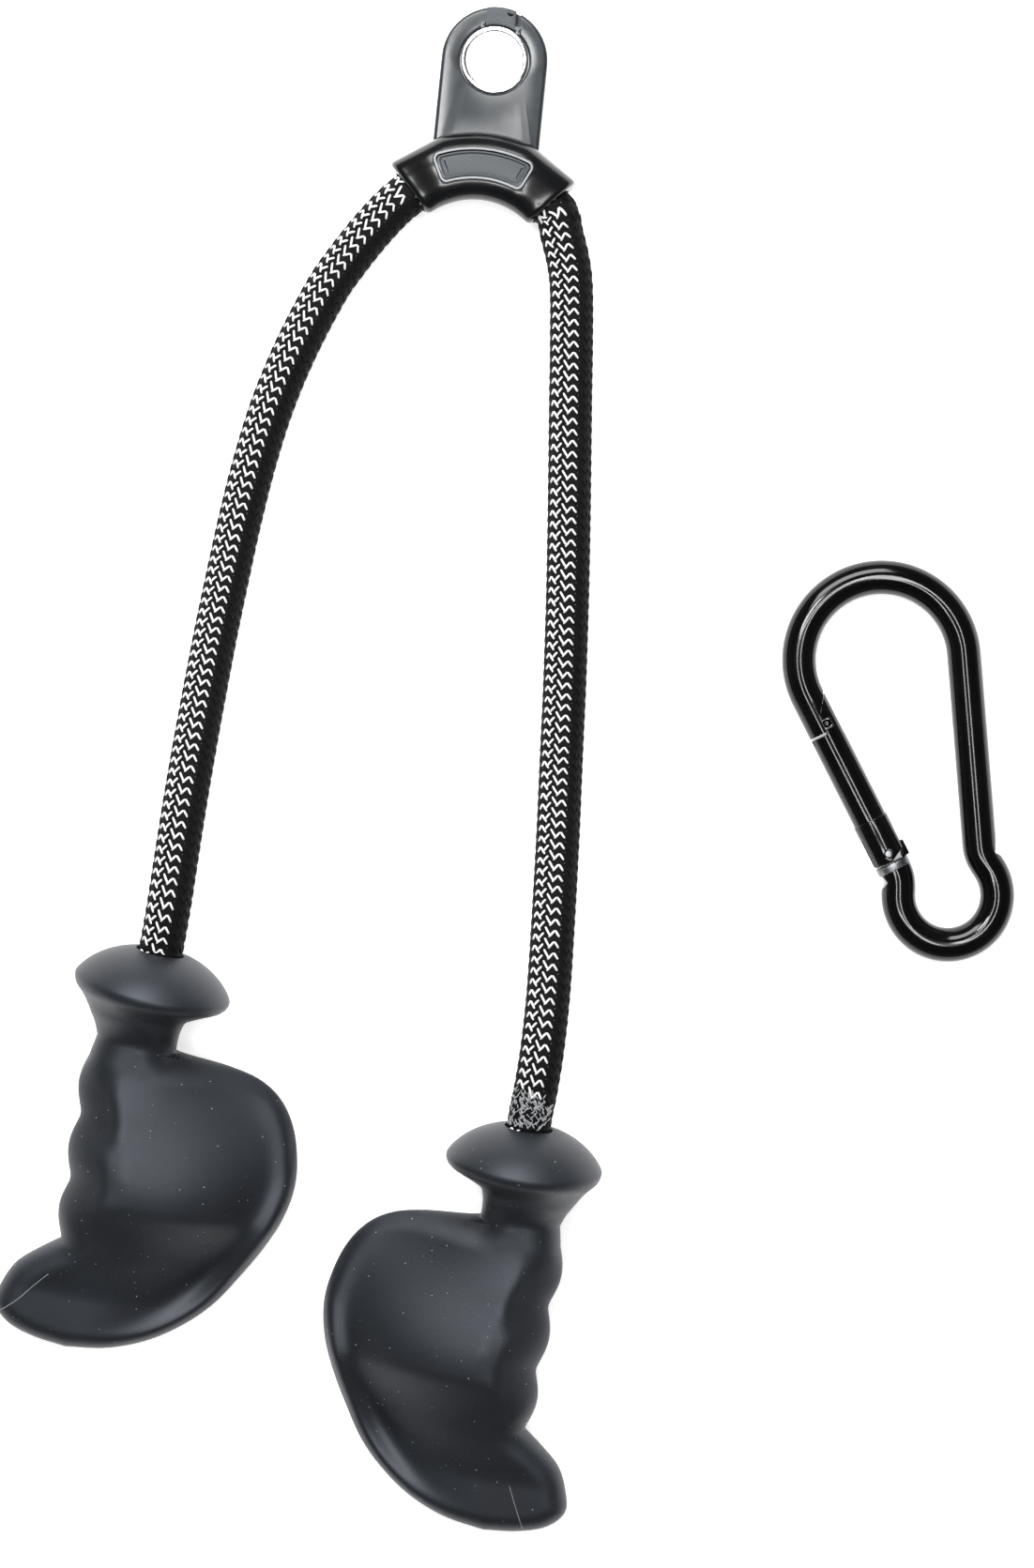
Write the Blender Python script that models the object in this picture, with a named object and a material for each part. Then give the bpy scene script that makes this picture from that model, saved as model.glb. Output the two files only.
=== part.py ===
# Triceps rope attachment: a rope through a curved saddle under an eye plate, with two moulded
# handles, and a snap hook that lies beside it. Everything lies flat and is seen from above.
# Metres, +Z up. The origin is the middle of the bounding box, at the level that the part lies on.

import math

import bmesh
import bpy
from mathutils import Matrix, Vector

for old in list(bpy.data.objects):
    bpy.data.objects.remove(old)

# Clearances and modelling steps that the pieces share
FIT_GAP = 0.0003
RUN_GAP = 0.0004
CUT_OVERRUN = 0.004
ROUND_SIDES = 24
BORE_SIDES = 18
SMALL_SIDES = 12
WIRE_SIDES = 16
SHARP_ANGLE = math.radians(38)

# Rope: the free stretches are as long as their routes
ROPE_DIAMETER = 0.016
ROPE_BORE = ROPE_DIAMETER + 2 * RUN_GAP
ROPE_STEP = 2 * ROPE_DIAMETER
ROPE_LEAD = ROPE_DIAMETER / 4
ROUTE_STEPS = 20
ROPE_RESOLUTION = 3

# Hanger: its frame stands on the centre of the saddle's arc, +Y towards the eye
HANGER_X = -0.0114
HANGER_Y = 0.1753
HANGER_LEAN = math.radians(-5.8)
SADDLE_RADIUS = 0.0365
SADDLE_HALF_ANGLE = math.radians(43)
COVER_INNER = 0.0119
COVER_OUTER = 0.0135
COVER_EAR = 0.0115
COVER_HALF_DEPTH = 0.012
COVER_SQUARENESS = 2.6
COVER_CROWN_ANGLE = math.radians(18.75)
COVER_STEPS = 20
TUBE_WALL = 0.0012
TUBE_SETBACK = math.radians(1.8)
TUBE_STEPS = 12
PLATE_THICKNESS = 0.006
PLATE_HALF_WIDTH = 0.0188
PLATE_EDGE = 0.0014
PLATE_FOOT_STEPS = 10
PLATE_TOP_STEPS = 24
EYE_DISTANCE = 0.0759
EYE_BORE = 0.020
BUSH_WALL = 0.0020
BUSH_PROUD = 0.0004
BADGE_REACH_OUT = 0.0067
BADGE_REACH_IN = 0.0051
BADGE_STEPS = 10
BADGE_HALF_ANGLE = math.radians(26)
BADGE_CORNER = 0.002
CORNER_SEGMENTS = 3
BADGE_FRAME = 0.0015
BADGE_PROUD = 0.0008
BADGE_RECESS = 0.0012
INSERT_THICKNESS = 0.0006

# Handles: the frame of each stands on the rope's axis at the disc's rim, +Y up the rope
DISC_RADIUS = 0.0275
DOME_HEIGHT = 0.0131
DOME_FALL = 1.25
DOME_FLATNESS = 2.5
DOME_RINGS = 7
NECK_LENGTH = 0.021
COLUMN_RADIUS = 0.013
PALM_LENGTH = 0.134
WING_REACH = 0.064
FOOT_REACH = 0.031
FINGER_START = 0.027
FINGER_PITCH = 0.0228
FINGER_COUNT = 3
FINGER_LOBE = 0.0031
FINGER_TOP = 0.0164
FINGER_BOTTOM = 0.0126
FINGER_STEPS = 8
COLUMN_SPREAD = 0.024
WING_LEVEL = -0.0035
HUMP_HEIGHT = 0.0125
HUMP_DOWN = 0.063
HUMP_ACROSS = 0.012
HUMP_LENGTH = 0.019
HUMP_WIDTH = 0.028
BOWL_DEPTH = 0.003
BOWL_DOWN = 0.100
RIM_RISE = 0.0045
RIM_INSET = 0.0055
BACK_RIM = 0.0065
BACK_SWELL = 0.0080
BACK_SPREAD = 0.013
FOOT_FRONT = 0.0065
FOOT_BACK = 0.0105
FINGER_ROUND = 0.012
WING_ROUND = 0.0045
WING_THIN_START = 0.0177
WING_THIN_END = 0.0341
FOOT_ROUND = 0.0075
OUTLINE_STEPS = 4
HANDLE_ROWS = 34
FRONT_STEPS = 14
BACK_STEPS = 10
HANDLE_TILT = math.radians(7.25)
HANDLE_SWIVEL = math.radians(4.0)
HANDLE_LIFT = 0.0273
SLEEVE_WALL = 0.0011
SLEEVE_TOP = -0.006
SLEEVE_END = 0.066
FLANGE_RADIUS = 0.0102
FLANGE_THICKNESS = 0.002
WASHER_THICKNESS = 0.0015
FERRULE_LENGTH = 0.016
FERRULE_WALL = 0.0014
WINDOW_HALF_WIDTH = 0.0072
LEFT_HANDLE = {"side": 1, "x": -0.1231, "y": -0.0756, "lean": math.radians(-13)}
RIGHT_HANDLE = {"side": -1, "x": 0.0067, "y": -0.1372, "lean": math.radians(-7.5)}

# Neck: down the axis as shares of its length, then the reach on the wing's side and on the
# fingers' side as shares of the disc's radius
NECK_SHARES = (
    (0.00, 1.000, 1.000), (0.08, 0.990, 0.990), (0.17, 0.930, 0.960), (0.31, 0.715, 0.860),
    (0.46, 0.525, 0.775), (0.62, 0.476, 0.700), (0.80, 0.460, 0.620), (1.00, 0.465, 0.560),
)
# Outlines from the neck to the tip, down the axis as shares of the palm's length: the wing's
# side as shares of the wing's reach, the foot's side as shares of the foot's
WING_SHARES = (
    (0.160, 0.220), (0.165, 0.340), (0.171, 0.500), (0.190, 0.680), (0.231, 0.820), (0.299, 0.922),
    (0.388, 0.984), (0.466, 1.000), (0.552, 0.969), (0.642, 0.898), (0.731, 0.805), (0.813, 0.703),
    (0.881, 0.570), (0.940, 0.398), (0.981, 0.188), (1.000, -0.047),
)
FOOT_SHARES = (
    (0.757, -0.645), (0.806, -0.855), (0.869, -0.968), (0.922, -0.993), (0.966, -0.806),
    (0.990, -0.484), (1.000, -0.097),
)

# Snap hook: the frame stands on the centre of the large bend, +Y along the long axis
HOOK_X = 0.1339
HOOK_Y = 0.0392
HOOK_LEAN = math.radians(15.7)
WIRE_DIAMETER = 0.0122
LARGE_BEND = 0.0294
SMALL_BEND = 0.0176
BEND_DISTANCE = 0.087
LARGE_BEND_STEPS = 22
SMALL_BEND_STEPS = 18
TAPER = math.radians(11.1)
WAIST_DROP = 0.075
SHOULDER_ANGLE = math.radians(20)
PIN_DROP = 0.067
NOSE_DROP = 0.0194
NOSE_GAP = 0.0009
PIN_DIAMETER = 0.003
PIN_SET = 0.0003
HINGE_TONGUE = 0.0038
TONGUE_HALF_WIDTH = 0.0043
TONGUE_REACH = 0.0042
HEEL = 0.0028
HEEL_GAP = 0.0005
HINGE_SLOT_DEPTH = 0.008
BORE_DIAMETER = 0.0052
BORE_DEPTH = 0.0298
GATE_SIDES = 20
PLUNGER_LENGTH = 0.0088
PLUNGER_TRAVEL = 0.0008
PLUNGER_NOSE_STEPS = 5
SPRING_WIRE = 0.0007
SPRING_TURNS = 10
SPRING_POINTS = 8
NOSE_TONGUE = 0.0034
LATCH_DIAMETER = 0.003
LATCH_LENGTH = 0.0084
LATCH_ACROSS = 0.0016
LATCH_ALONG = 0.0026
CHEEK_REACH = 0.0058
NOTCH_ROOM = 0.0019
NOSE_SLOT_DEPTH = 0.002
NOSE_RAMP_LOW = 0.006
NOSE_RAMP_HIGH = 0.014

# Routes of the rope's free stretches, from the saddle's mouth to the handle's dome
ROUTE_LEFT = (
    (-0.0408, 0.1984, 0.0114), (-0.0483, 0.1904, 0.0104), (-0.0565, 0.1803, 0.0092),
    (-0.0636, 0.1701, 0.0086), (-0.0741, 0.1501, 0.0083), (-0.0825, 0.1301, 0.0082),
    (-0.0888, 0.1101, 0.0082), (-0.0939, 0.0901, 0.0083), (-0.0982, 0.0701, 0.0094),
    (-0.1021, 0.0500, 0.0126), (-0.1055, 0.0300, 0.0171), (-0.1087, 0.0100, 0.0220),
    (-0.1117, -0.0098, 0.0262), (-0.1145, -0.0294, 0.0292), (-0.1169, -0.0460, 0.0306),
)
ROUTE_RIGHT = (
    (0.0200, 0.1903, 0.0111), (0.0224, 0.1803, 0.0098), (0.0235, 0.1701, 0.0089),
    (0.0235, 0.1500, 0.0083), (0.0232, 0.1301, 0.0082), (0.0227, 0.0902, 0.0082),
    (0.0221, 0.0602, 0.0082), (0.0211, 0.0300, 0.0085), (0.0204, 0.0150, 0.0093),
    (0.0197, 0.0002, 0.0109), (0.0188, -0.0198, 0.0146), (0.0177, -0.0396, 0.0192),
    (0.0165, -0.0591, 0.0238), (0.0151, -0.0787, 0.0276), (0.0132, -0.0960, 0.0300),
    (0.0110, -0.1100, 0.0305),
)

ROPE_RADIUS = ROPE_DIAMETER / 2
WIRE_RADIUS = WIRE_DIAMETER / 2
TUBE_RADIUS = ROPE_BORE / 2 + TUBE_WALL
BORE_ALONG_Y = Matrix.Rotation(math.pi / 2, 4, "X")


def finish(name, colour, roughness, metallic=0.0):
    material = bpy.data.materials.new(name)
    material.use_nodes = True
    shader = material.node_tree.nodes["Principled BSDF"]
    shader.inputs["Base Color"].default_value = (*colour, 1)
    shader.inputs["Roughness"].default_value = roughness
    shader.inputs["Metallic"].default_value = metallic
    material.diffuse_color = (*colour, 1)
    return material


PLATE_BLACK = finish("plate_black", (0.045, 0.048, 0.052), 0.38)
BRIGHT_STEEL = finish("bright_steel", (0.62, 0.63, 0.64), 0.25, 1.0)
GLOSS_BLACK = finish("gloss_black", (0.012, 0.013, 0.015), 0.16)
INSERT_GREY = finish("insert_grey", (0.07, 0.075, 0.08), 0.35)
BRAID = finish("braid", (0.10, 0.10, 0.10), 0.85)
RUBBER = finish("rubber", (0.035, 0.038, 0.042), 0.72)
NYLON = finish("nylon", (0.55, 0.55, 0.52), 0.5)
ALUMINIUM = finish("aluminium", (0.75, 0.76, 0.77), 0.35, 1.0)
HOOK_PAINT = finish("hook_paint", (0.010, 0.010, 0.011), 0.12)


def empty(name, matrix):
    frame = bpy.data.objects.new(name, None)
    frame.matrix_world = matrix
    bpy.context.collection.objects.link(frame)
    return frame


def piece(name, bm, material, parent):
    """A mesh object from a bmesh in its parent's frame, smooth where it is round."""
    bmesh.ops.recalc_face_normals(bm, faces=bm.faces)
    mesh = bpy.data.meshes.new(name)
    bm.to_mesh(mesh)
    bm.free()
    mesh.shade_smooth()
    mesh.set_sharp_from_angle(angle=SHARP_ANGLE)
    obj = bpy.data.objects.new(name, mesh)
    if material:
        mesh.materials.append(material)
    bpy.context.collection.objects.link(obj)
    obj.parent = parent
    return obj


def combine(target, tool, operation="DIFFERENCE"):
    """Cuts the tool out of the target, or joins it on, and hides the tool."""
    tool.hide_render = True
    tool.display_type = "WIRE"
    step = target.modifiers.new(tool.name, "BOOLEAN")
    step.operation = operation
    step.object = tool


def loft(rings, caps=True, loop=False):
    """Skins a row of closed rings of points, each with as many points."""
    bm = bmesh.new()
    rows = [[bm.verts.new(point) for point in ring] for ring in rings]
    pairs = list(zip(rows, rows[1:]))
    if loop:
        pairs.append((rows[-1], rows[0]))
    for low, high in pairs:
        for k, vert in enumerate(low):
            after = (k + 1) % len(low)
            bm.faces.new((vert, low[after], high[after], high[k]))
    if caps and not loop:
        bm.faces.new(rows[0])
        bm.faces.new(rows[-1])
    return bm


def turned(profile, sides=ROUND_SIDES, place=Matrix()):
    """Turns a profile of (radius, height) about Z. A closed profile stays clear of the axis."""
    bm = bmesh.new()
    verts = [bm.verts.new((radius, 0, height)) for radius, height in profile]
    edges = [bm.edges.new(pair) for pair in zip(verts, verts[1:])]
    if profile[0][0] > 0:
        edges.append(bm.edges.new((verts[-1], verts[0])))
    bmesh.ops.spin(bm, geom=verts + edges, cent=(0, 0, 0), axis=(0, 0, 1), angle=2 * math.pi,
                   steps=sides, use_merge=True)
    bmesh.ops.remove_doubles(bm, verts=bm.verts, dist=FIT_GAP / 100)
    bmesh.ops.transform(bm, matrix=place, verts=bm.verts)
    return bm


def tube(inner, outer, low, high, sides=ROUND_SIDES, place=Matrix()):
    return turned([(inner, low), (outer, low), (outer, high), (inner, high)], sides, place)


def rod(radius, low, high, sides=ROUND_SIDES, place=Matrix()):
    return turned([(0, low), (radius, low), (radius, high), (0, high)], sides, place)


def prism(outline, low, high):
    """An outline of (x, y) drawn up from one height to another."""
    bm = bmesh.new()
    face = bm.faces.new([bm.verts.new((x, y, low)) for x, y in outline])
    grown = bmesh.ops.extrude_face_region(bm, geom=[face])["geom"]
    top = [item for item in grown if isinstance(item, bmesh.types.BMVert)]
    bmesh.ops.translate(bm, verts=top, vec=(0, 0, high - low))
    return bm


def block(x0, x1, y0, y1, z0, z1):
    return prism([(x0, y0), (x1, y0), (x1, y1), (x0, y1)], z0, z1)


def arc(centre, radius, start, end, steps):
    """Points of an arc, angles from +X towards +Y."""
    turns = (start + (end - start) * k / steps for k in range(steps + 1))
    return [(centre[0] + radius * math.cos(turn), centre[1] + radius * math.sin(turn)) for turn in turns]


def circle(radius, sides=ROUND_SIDES):
    return [(radius * math.cos(2 * math.pi * k / sides), radius * math.sin(2 * math.pi * k / sides))
            for k in range(sides)]


def ease(value, low, high):
    """Runs smoothly from 0 at low to 1 at high."""
    share = min(1, max(0, (value - low) / (high - low)))
    return share * share * (3 - 2 * share)


def smooth_line(points, per_span):
    """A curve through the points, with so many steps from each to the next."""
    points = [Vector(point) for point in points]
    ends = [2 * points[0] - points[1]] + points + [2 * points[-1] - points[-2]]
    line = []
    for before, a, b, after in zip(ends, ends[1:], ends[2:], ends[3:]):
        for k in range(per_span):
            t = k / per_span
            line.append(0.5 * (2 * a + (b - before) * t + (2 * before - 5 * a + 4 * b - after) * t * t
                               + (3 * a - before - 3 * b + after) * t ** 3))
    return line + [points[-1]]


def spaced(line, distances):
    """The points that lie at the given distances along a line."""
    found, travelled = [], 0
    wanted = list(distances)
    for a, b in zip(line, line[1:]):
        span = (b - a).length
        while wanted and wanted[0] <= travelled + span:
            found.append(a.lerp(b, (wanted.pop(0) - travelled) / span))
        travelled += span
    return found


def cord(name, points, diameter, material, parent, resolution):
    """A round cord along points in the parent's frame."""
    curve = bpy.data.curves.new(name, "CURVE")
    curve.dimensions = "3D"
    curve.bevel_depth = diameter / 2
    curve.bevel_resolution = resolution
    curve.use_fill_caps = True
    spline = curve.splines.new("POLY")
    spline.points.add(len(points) - 1)
    for spot, point in zip(spline.points, points):
        spot.co = (*point, 1)
    obj = bpy.data.objects.new(name, curve)
    curve.materials.append(material)
    bpy.context.collection.objects.link(obj)
    obj.parent = parent
    return obj


# Hanger

hanger_frame = empty("hanger_frame", Matrix.Translation((HANGER_X, HANGER_Y, COVER_HALF_DEPTH))
                     @ Matrix.Rotation(HANGER_LEAN, 4, "Z"))


def saddle_station(turn):
    """The section plane of the saddle at an angle from +Y: outwards, up and along the rope."""
    s, c = math.sin(turn), math.cos(turn)
    return Matrix(((s, 0, c, SADDLE_RADIUS * s), (c, 0, -s, SADDLE_RADIUS * c), (0, 1, 0, 0), (0, 0, 0, 1)))


def saddle_sweep(half_angle, steps, section):
    """Rings along the saddle's arc; the section takes the angle and gives (outwards, up) points."""
    rings = []
    for k in range(steps + 1):
        turn = half_angle * (2 * k / steps - 1)
        rings.append([saddle_station(turn) @ Vector((x, y, 0)) for x, y in section(turn)])
    return rings


def cover_section(turn):
    """A squarish oval whose outer side stands highest under the plate and drops to the ears."""
    drop = ease(abs(turn), COVER_CROWN_ANGLE, SADDLE_HALF_ANGLE)
    outer = COVER_OUTER + (COVER_EAR - COVER_OUTER) * drop
    power = 2 / COVER_SQUARENESS
    ring = []
    for k in range(ROUND_SIDES):
        c, s = math.cos(2 * math.pi * k / ROUND_SIDES), math.sin(2 * math.pi * k / ROUND_SIDES)
        reach = outer if c > 0 else COVER_INNER
        ring.append((math.copysign(abs(c) ** power * reach, c),
                     math.copysign(abs(s) ** power * COVER_HALF_DEPTH, s)))
    return ring


def sector(inner, outer, half_angle, corner, low, high):
    """A flat ring segment about the saddle's centre, with rounded corners."""
    middle = math.pi / 2
    outline = arc((0, 0), outer, middle + half_angle, middle - half_angle, BADGE_STEPS)
    outline += arc((0, 0), inner, middle - half_angle, middle + half_angle, BADGE_STEPS)
    bm = prism(outline, low, high)
    inside = half_angle * (1 - 1 / BADGE_STEPS)
    upright = [edge for edge in bm.edges if edge.verts[0].co.z != edge.verts[1].co.z
               and abs(math.atan2(edge.verts[0].co.x, edge.verts[0].co.y)) > inside]
    bmesh.ops.bevel(bm, geom=upright, offset=corner, segments=CORNER_SEGMENTS, profile=0.5, affect="EDGES",
                    material=-1)
    return bm


def build_saddle():
    form = loft(saddle_sweep(SADDLE_HALF_ANGLE, COVER_STEPS, cover_section))
    cover = piece("saddle_cover", form, GLOSS_BLACK, hanger_frame)
    lip = ROPE_BORE / 2
    room = TUBE_RADIUS + FIT_GAP
    tube_half = SADDLE_HALF_ANGLE - TUBE_SETBACK
    overrun = CUT_OVERRUN / SADDLE_RADIUS
    gap = FIT_GAP / SADDLE_RADIUS

    half = [(SADDLE_HALF_ANGLE + overrun, lip), (tube_half + 2 * gap, lip), (tube_half + gap, room)]
    inside = [(tube_half * (1 - 2 * k / TUBE_STEPS), room) for k in range(1, TUBE_STEPS)]
    path = half + inside + [(-turn, radius) for turn, radius in reversed(half)]
    bore = [[saddle_station(turn) @ Vector((x, y, 0)) for x, y in circle(radius, BORE_SIDES)]
            for turn, radius in path]
    combine(cover, piece("cover_bore", loft(bore), None, hanger_frame))

    slot_half = PLATE_HALF_WIDTH + FIT_GAP
    slot_depth = PLATE_THICKNESS / 2 + FIT_GAP
    slot_top = SADDLE_RADIUS + COVER_OUTER + CUT_OVERRUN
    slot = block(-slot_half, slot_half, SADDLE_RADIUS, slot_top, -slot_depth, slot_depth)
    combine(cover, piece("cover_slot", slot, None, hanger_frame))

    frame_top = COVER_HALF_DEPTH + BADGE_PROUD
    badge_inner = SADDLE_RADIUS - BADGE_REACH_IN
    badge_outer = SADDLE_RADIUS + BADGE_REACH_OUT
    frame_foot = TUBE_RADIUS + BADGE_PROUD
    badge = sector(badge_inner, badge_outer, BADGE_HALF_ANGLE, BADGE_CORNER, frame_foot, frame_top)
    combine(cover, piece("badge_rim", badge, None, hanger_frame), "UNION")
    turn_in = BADGE_FRAME / SADDLE_RADIUS
    well_floor = frame_top - BADGE_RECESS
    well = sector(badge_inner + BADGE_FRAME, badge_outer - BADGE_FRAME, BADGE_HALF_ANGLE - turn_in,
                  BADGE_CORNER / 2, well_floor, frame_top + CUT_OVERRUN)
    combine(cover, piece("badge_well", well, None, hanger_frame))
    inset = BADGE_FRAME + FIT_GAP
    insert = sector(badge_inner + inset, badge_outer - inset, BADGE_HALF_ANGLE - turn_in - gap,
                    BADGE_CORNER / 2, well_floor + FIT_GAP, well_floor + FIT_GAP + INSERT_THICKNESS)
    piece("badge_insert", insert, INSERT_GREY, hanger_frame)

    outside = saddle_sweep(tube_half, TUBE_STEPS, lambda turn: circle(TUBE_RADIUS, BORE_SIDES))
    steel = piece("rope_tube", loft(outside), BRIGHT_STEEL, hanger_frame)
    inner = saddle_sweep(tube_half + overrun, TUBE_STEPS, lambda turn: circle(ROPE_BORE / 2, BORE_SIDES))
    combine(steel, piece("tube_bore", loft(inner), None, hanger_frame))
    inner_rope = saddle_sweep(SADDLE_HALF_ANGLE, TUBE_STEPS, lambda turn: circle(ROPE_RADIUS, SMALL_SIDES))
    piece("rope_in_saddle", loft(inner_rope), BRAID, hanger_frame)


def build_plate():
    foot_radius = SADDLE_RADIUS + TUBE_RADIUS + FIT_GAP
    foot_turn = math.asin(PLATE_HALF_WIDTH / foot_radius)
    middle = math.pi / 2
    outline = arc((0, 0), foot_radius, middle + foot_turn, middle - foot_turn, PLATE_FOOT_STEPS)
    outline += arc((0, EYE_DISTANCE), PLATE_HALF_WIDTH, 0, math.pi, PLATE_TOP_STEPS)
    bm = prism(outline, -PLATE_THICKNESS / 2, PLATE_THICKNESS / 2)
    round_edges = [edge for edge in bm.edges
                   if abs(edge.verts[0].co.z - edge.verts[1].co.z) < FIT_GAP
                   and max(vert.co.y for vert in edge.verts) > foot_radius + FIT_GAP]
    bmesh.ops.bevel(bm, geom=round_edges, offset=PLATE_EDGE, segments=2, profile=0.5, affect="EDGES",
                    material=-1)
    plate = piece("hanger_plate", bm, PLATE_BLACK, hanger_frame)
    eye = Matrix.Translation((0, EYE_DISTANCE, 0))
    bush_radius = EYE_BORE / 2 + BUSH_WALL
    reach = PLATE_THICKNESS / 2 + CUT_OVERRUN
    hole = rod(bush_radius + FIT_GAP, -reach, reach, 2 * ROUND_SIDES, eye)
    combine(plate, piece("eye_hole", hole, None, hanger_frame))
    face = PLATE_THICKNESS / 2 + BUSH_PROUD
    bush = tube(EYE_BORE / 2, bush_radius, -face, face, 2 * ROUND_SIDES, eye)
    piece("eye_bush", bush, BRIGHT_STEEL, hanger_frame)


# Handles


def handle_sides():
    """The handle's silhouette below the disc's rim as (down, across) lines: fingers' side, wing's side."""
    fingers = [(down * NECK_LENGTH, -finger * DISC_RADIUS) for down, wing, finger in NECK_SHARES]
    wing = [(down * NECK_LENGTH, wing * DISC_RADIUS) for down, wing, finger in NECK_SHARES]
    span = FINGER_PITCH * FINGER_COUNT
    steps = FINGER_COUNT * FINGER_STEPS
    for k in range(steps + 1):
        share = k / steps
        valley = FINGER_TOP + (FINGER_BOTTOM - FINGER_TOP) * share
        lobe = FINGER_LOBE * abs(math.sin(math.pi * FINGER_COUNT * share))
        fingers.append((FINGER_START + span * share, -valley - lobe))
    foot = [(down * PALM_LENGTH, across * FOOT_REACH, 0) for down, across in FOOT_SHARES]
    edge = [(down * PALM_LENGTH, across * WING_REACH, 0) for down, across in WING_SHARES]
    for line, shares in ((fingers, foot), (wing, edge)):
        below = smooth_line([(*line[-1], 0)] + shares, OUTLINE_STEPS)[1:]
        line += [(down, across) for down, across, _ in below]
    return fingers, wing


def across_at(line, down):
    """How far across a side of the silhouette lies at a level."""
    for (down0, across0), (down1, across1) in zip(line, line[1:]):
        if down <= down1:
            return across0 + (across1 - across0) * max(0, down - down0) / max(down1 - down0, FIT_GAP / 100)
    return line[-1][1]


def edge_distance(down, across, lines):
    """The distance from a point to the silhouette."""
    best = PALM_LENGTH
    for line in lines:
        for (x0, y0), (x1, y1) in zip(line, line[1:]):
            dx, dy = x1 - x0, y1 - y0
            share = min(1, max(0, ((down - x0) * dx + (across - y0) * dy) / (dx * dx + dy * dy)))
            best = min(best, math.hypot(down - x0 - share * dx, across - y0 - share * dy))
    return best


def palm_levels(down, across, away):
    """The front and back heights of the palm body over a point, before its edge is rounded."""
    bump = math.exp(-((down - HUMP_DOWN) / HUMP_LENGTH) ** 2 - ((across - HUMP_ACROSS) / HUMP_WIDTH) ** 2)
    bowl = math.exp(-((down - BOWL_DOWN) / HUMP_LENGTH) ** 2 - ((across - HUMP_WIDTH) / HUMP_WIDTH) ** 2)
    lip = RIM_RISE * math.exp(-((away - RIM_INSET) / RIM_INSET) ** 2)
    lip *= ease(down, NECK_LENGTH, HUMP_DOWN)
    wing_front = WING_LEVEL + HUMP_HEIGHT * bump - BOWL_DEPTH * bowl + lip
    foot = ease(down, HUMP_DOWN + HUMP_LENGTH, PALM_LENGTH - HUMP_LENGTH)
    column_front = COLUMN_RADIUS + (FOOT_FRONT - COLUMN_RADIUS) * foot
    column_back = COLUMN_RADIUS + (FOOT_BACK - COLUMN_RADIUS) * foot
    wing_back = BACK_RIM + BACK_SWELL * (1 - math.exp(-away / BACK_SPREAD))
    side = ease(across, 0, COLUMN_SPREAD)
    front = column_front + (wing_front - column_front) * side
    back = column_back + (wing_back - column_back) * side
    return front, -back


def edge_rounding(down, across):
    """How far in from the silhouette the edge is rounded: round at the fingers, thinner at the wing."""
    thin = ease(across, 0, COLUMN_SPREAD) * ease(down, WING_THIN_START, WING_THIN_END)
    foot = ease(down, FINGER_START + FINGER_PITCH * FINGER_COUNT, PALM_LENGTH - HUMP_LENGTH)
    fingers = FINGER_ROUND + (FOOT_ROUND - FINGER_ROUND) * foot
    return fingers + (WING_ROUND - fingers) * thin


def handle_form(side):
    """The whole handle without its bore: the domed disc, the neck, and the palm down to its tip."""
    lines = handle_sides()
    spots = []
    for k in range(DOME_RINGS):
        reach = ROPE_RADIUS / 2 + (DISC_RADIUS - ROPE_RADIUS / 2) * math.sin(math.pi / 2 * k / DOME_RINGS)
        share = reach / DISC_RADIUS
        spots.append((-DOME_HEIGHT * (1 - share ** DOME_FLATNESS) ** (1 / DOME_FALL), -reach, reach))
    for down, wing, finger in NECK_SHARES[:-1]:
        spots.append((down * NECK_LENGTH, -finger * DISC_RADIUS, wing * DISC_RADIUS))
    for k in range(HANDLE_ROWS):
        down = NECK_LENGTH + (PALM_LENGTH - NECK_LENGTH) * (1 - math.cos(math.pi * k / HANDLE_ROWS)) / 2
        spots.append((down, across_at(lines[0], down), across_at(lines[1], down)))
    turns = [math.pi * k / FRONT_STEPS for k in range(FRONT_STEPS)]
    turns += [math.pi * (1 + k / BACK_STEPS) for k in range(BACK_STEPS)]
    rings = []
    for down, low, high in spots:
        neck = 1 - ease(down, NECK_LENGTH / 2, NECK_LENGTH)
        ring = []
        for turn in turns:
            across = (low + high) / 2 + (high - low) / 2 * math.cos(turn)
            depth, edge = (high - low) / 2, abs(math.sin(turn))
            top, bottom = depth, -depth
            if neck < 1:
                away = edge_distance(down, across, lines)
                front, back = palm_levels(down, across, away)
                top += (front - top) * (1 - neck)
                bottom += (back - bottom) * (1 - neck)
                inner = max(0, 1 - away / edge_rounding(down, across))
                edge += (math.sqrt(1 - inner ** 2) - edge) * (1 - neck)
            half = (top - bottom) / 2 * edge
            ring.append((side * across, -down, (top + bottom) / 2 + math.copysign(half, math.sin(turn))))
        rings.append(ring)
    return loft(rings)


def handle_matrix(handle):
    turn = Matrix.Rotation(handle["lean"], 4, "Z") @ Matrix.Rotation(HANDLE_TILT, 4, "X")
    swivel = Matrix.Rotation(handle["side"] * HANDLE_SWIVEL, 4, "Y")
    return Matrix.Translation((handle["x"], handle["y"], HANDLE_LIFT)) @ turn @ swivel


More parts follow.
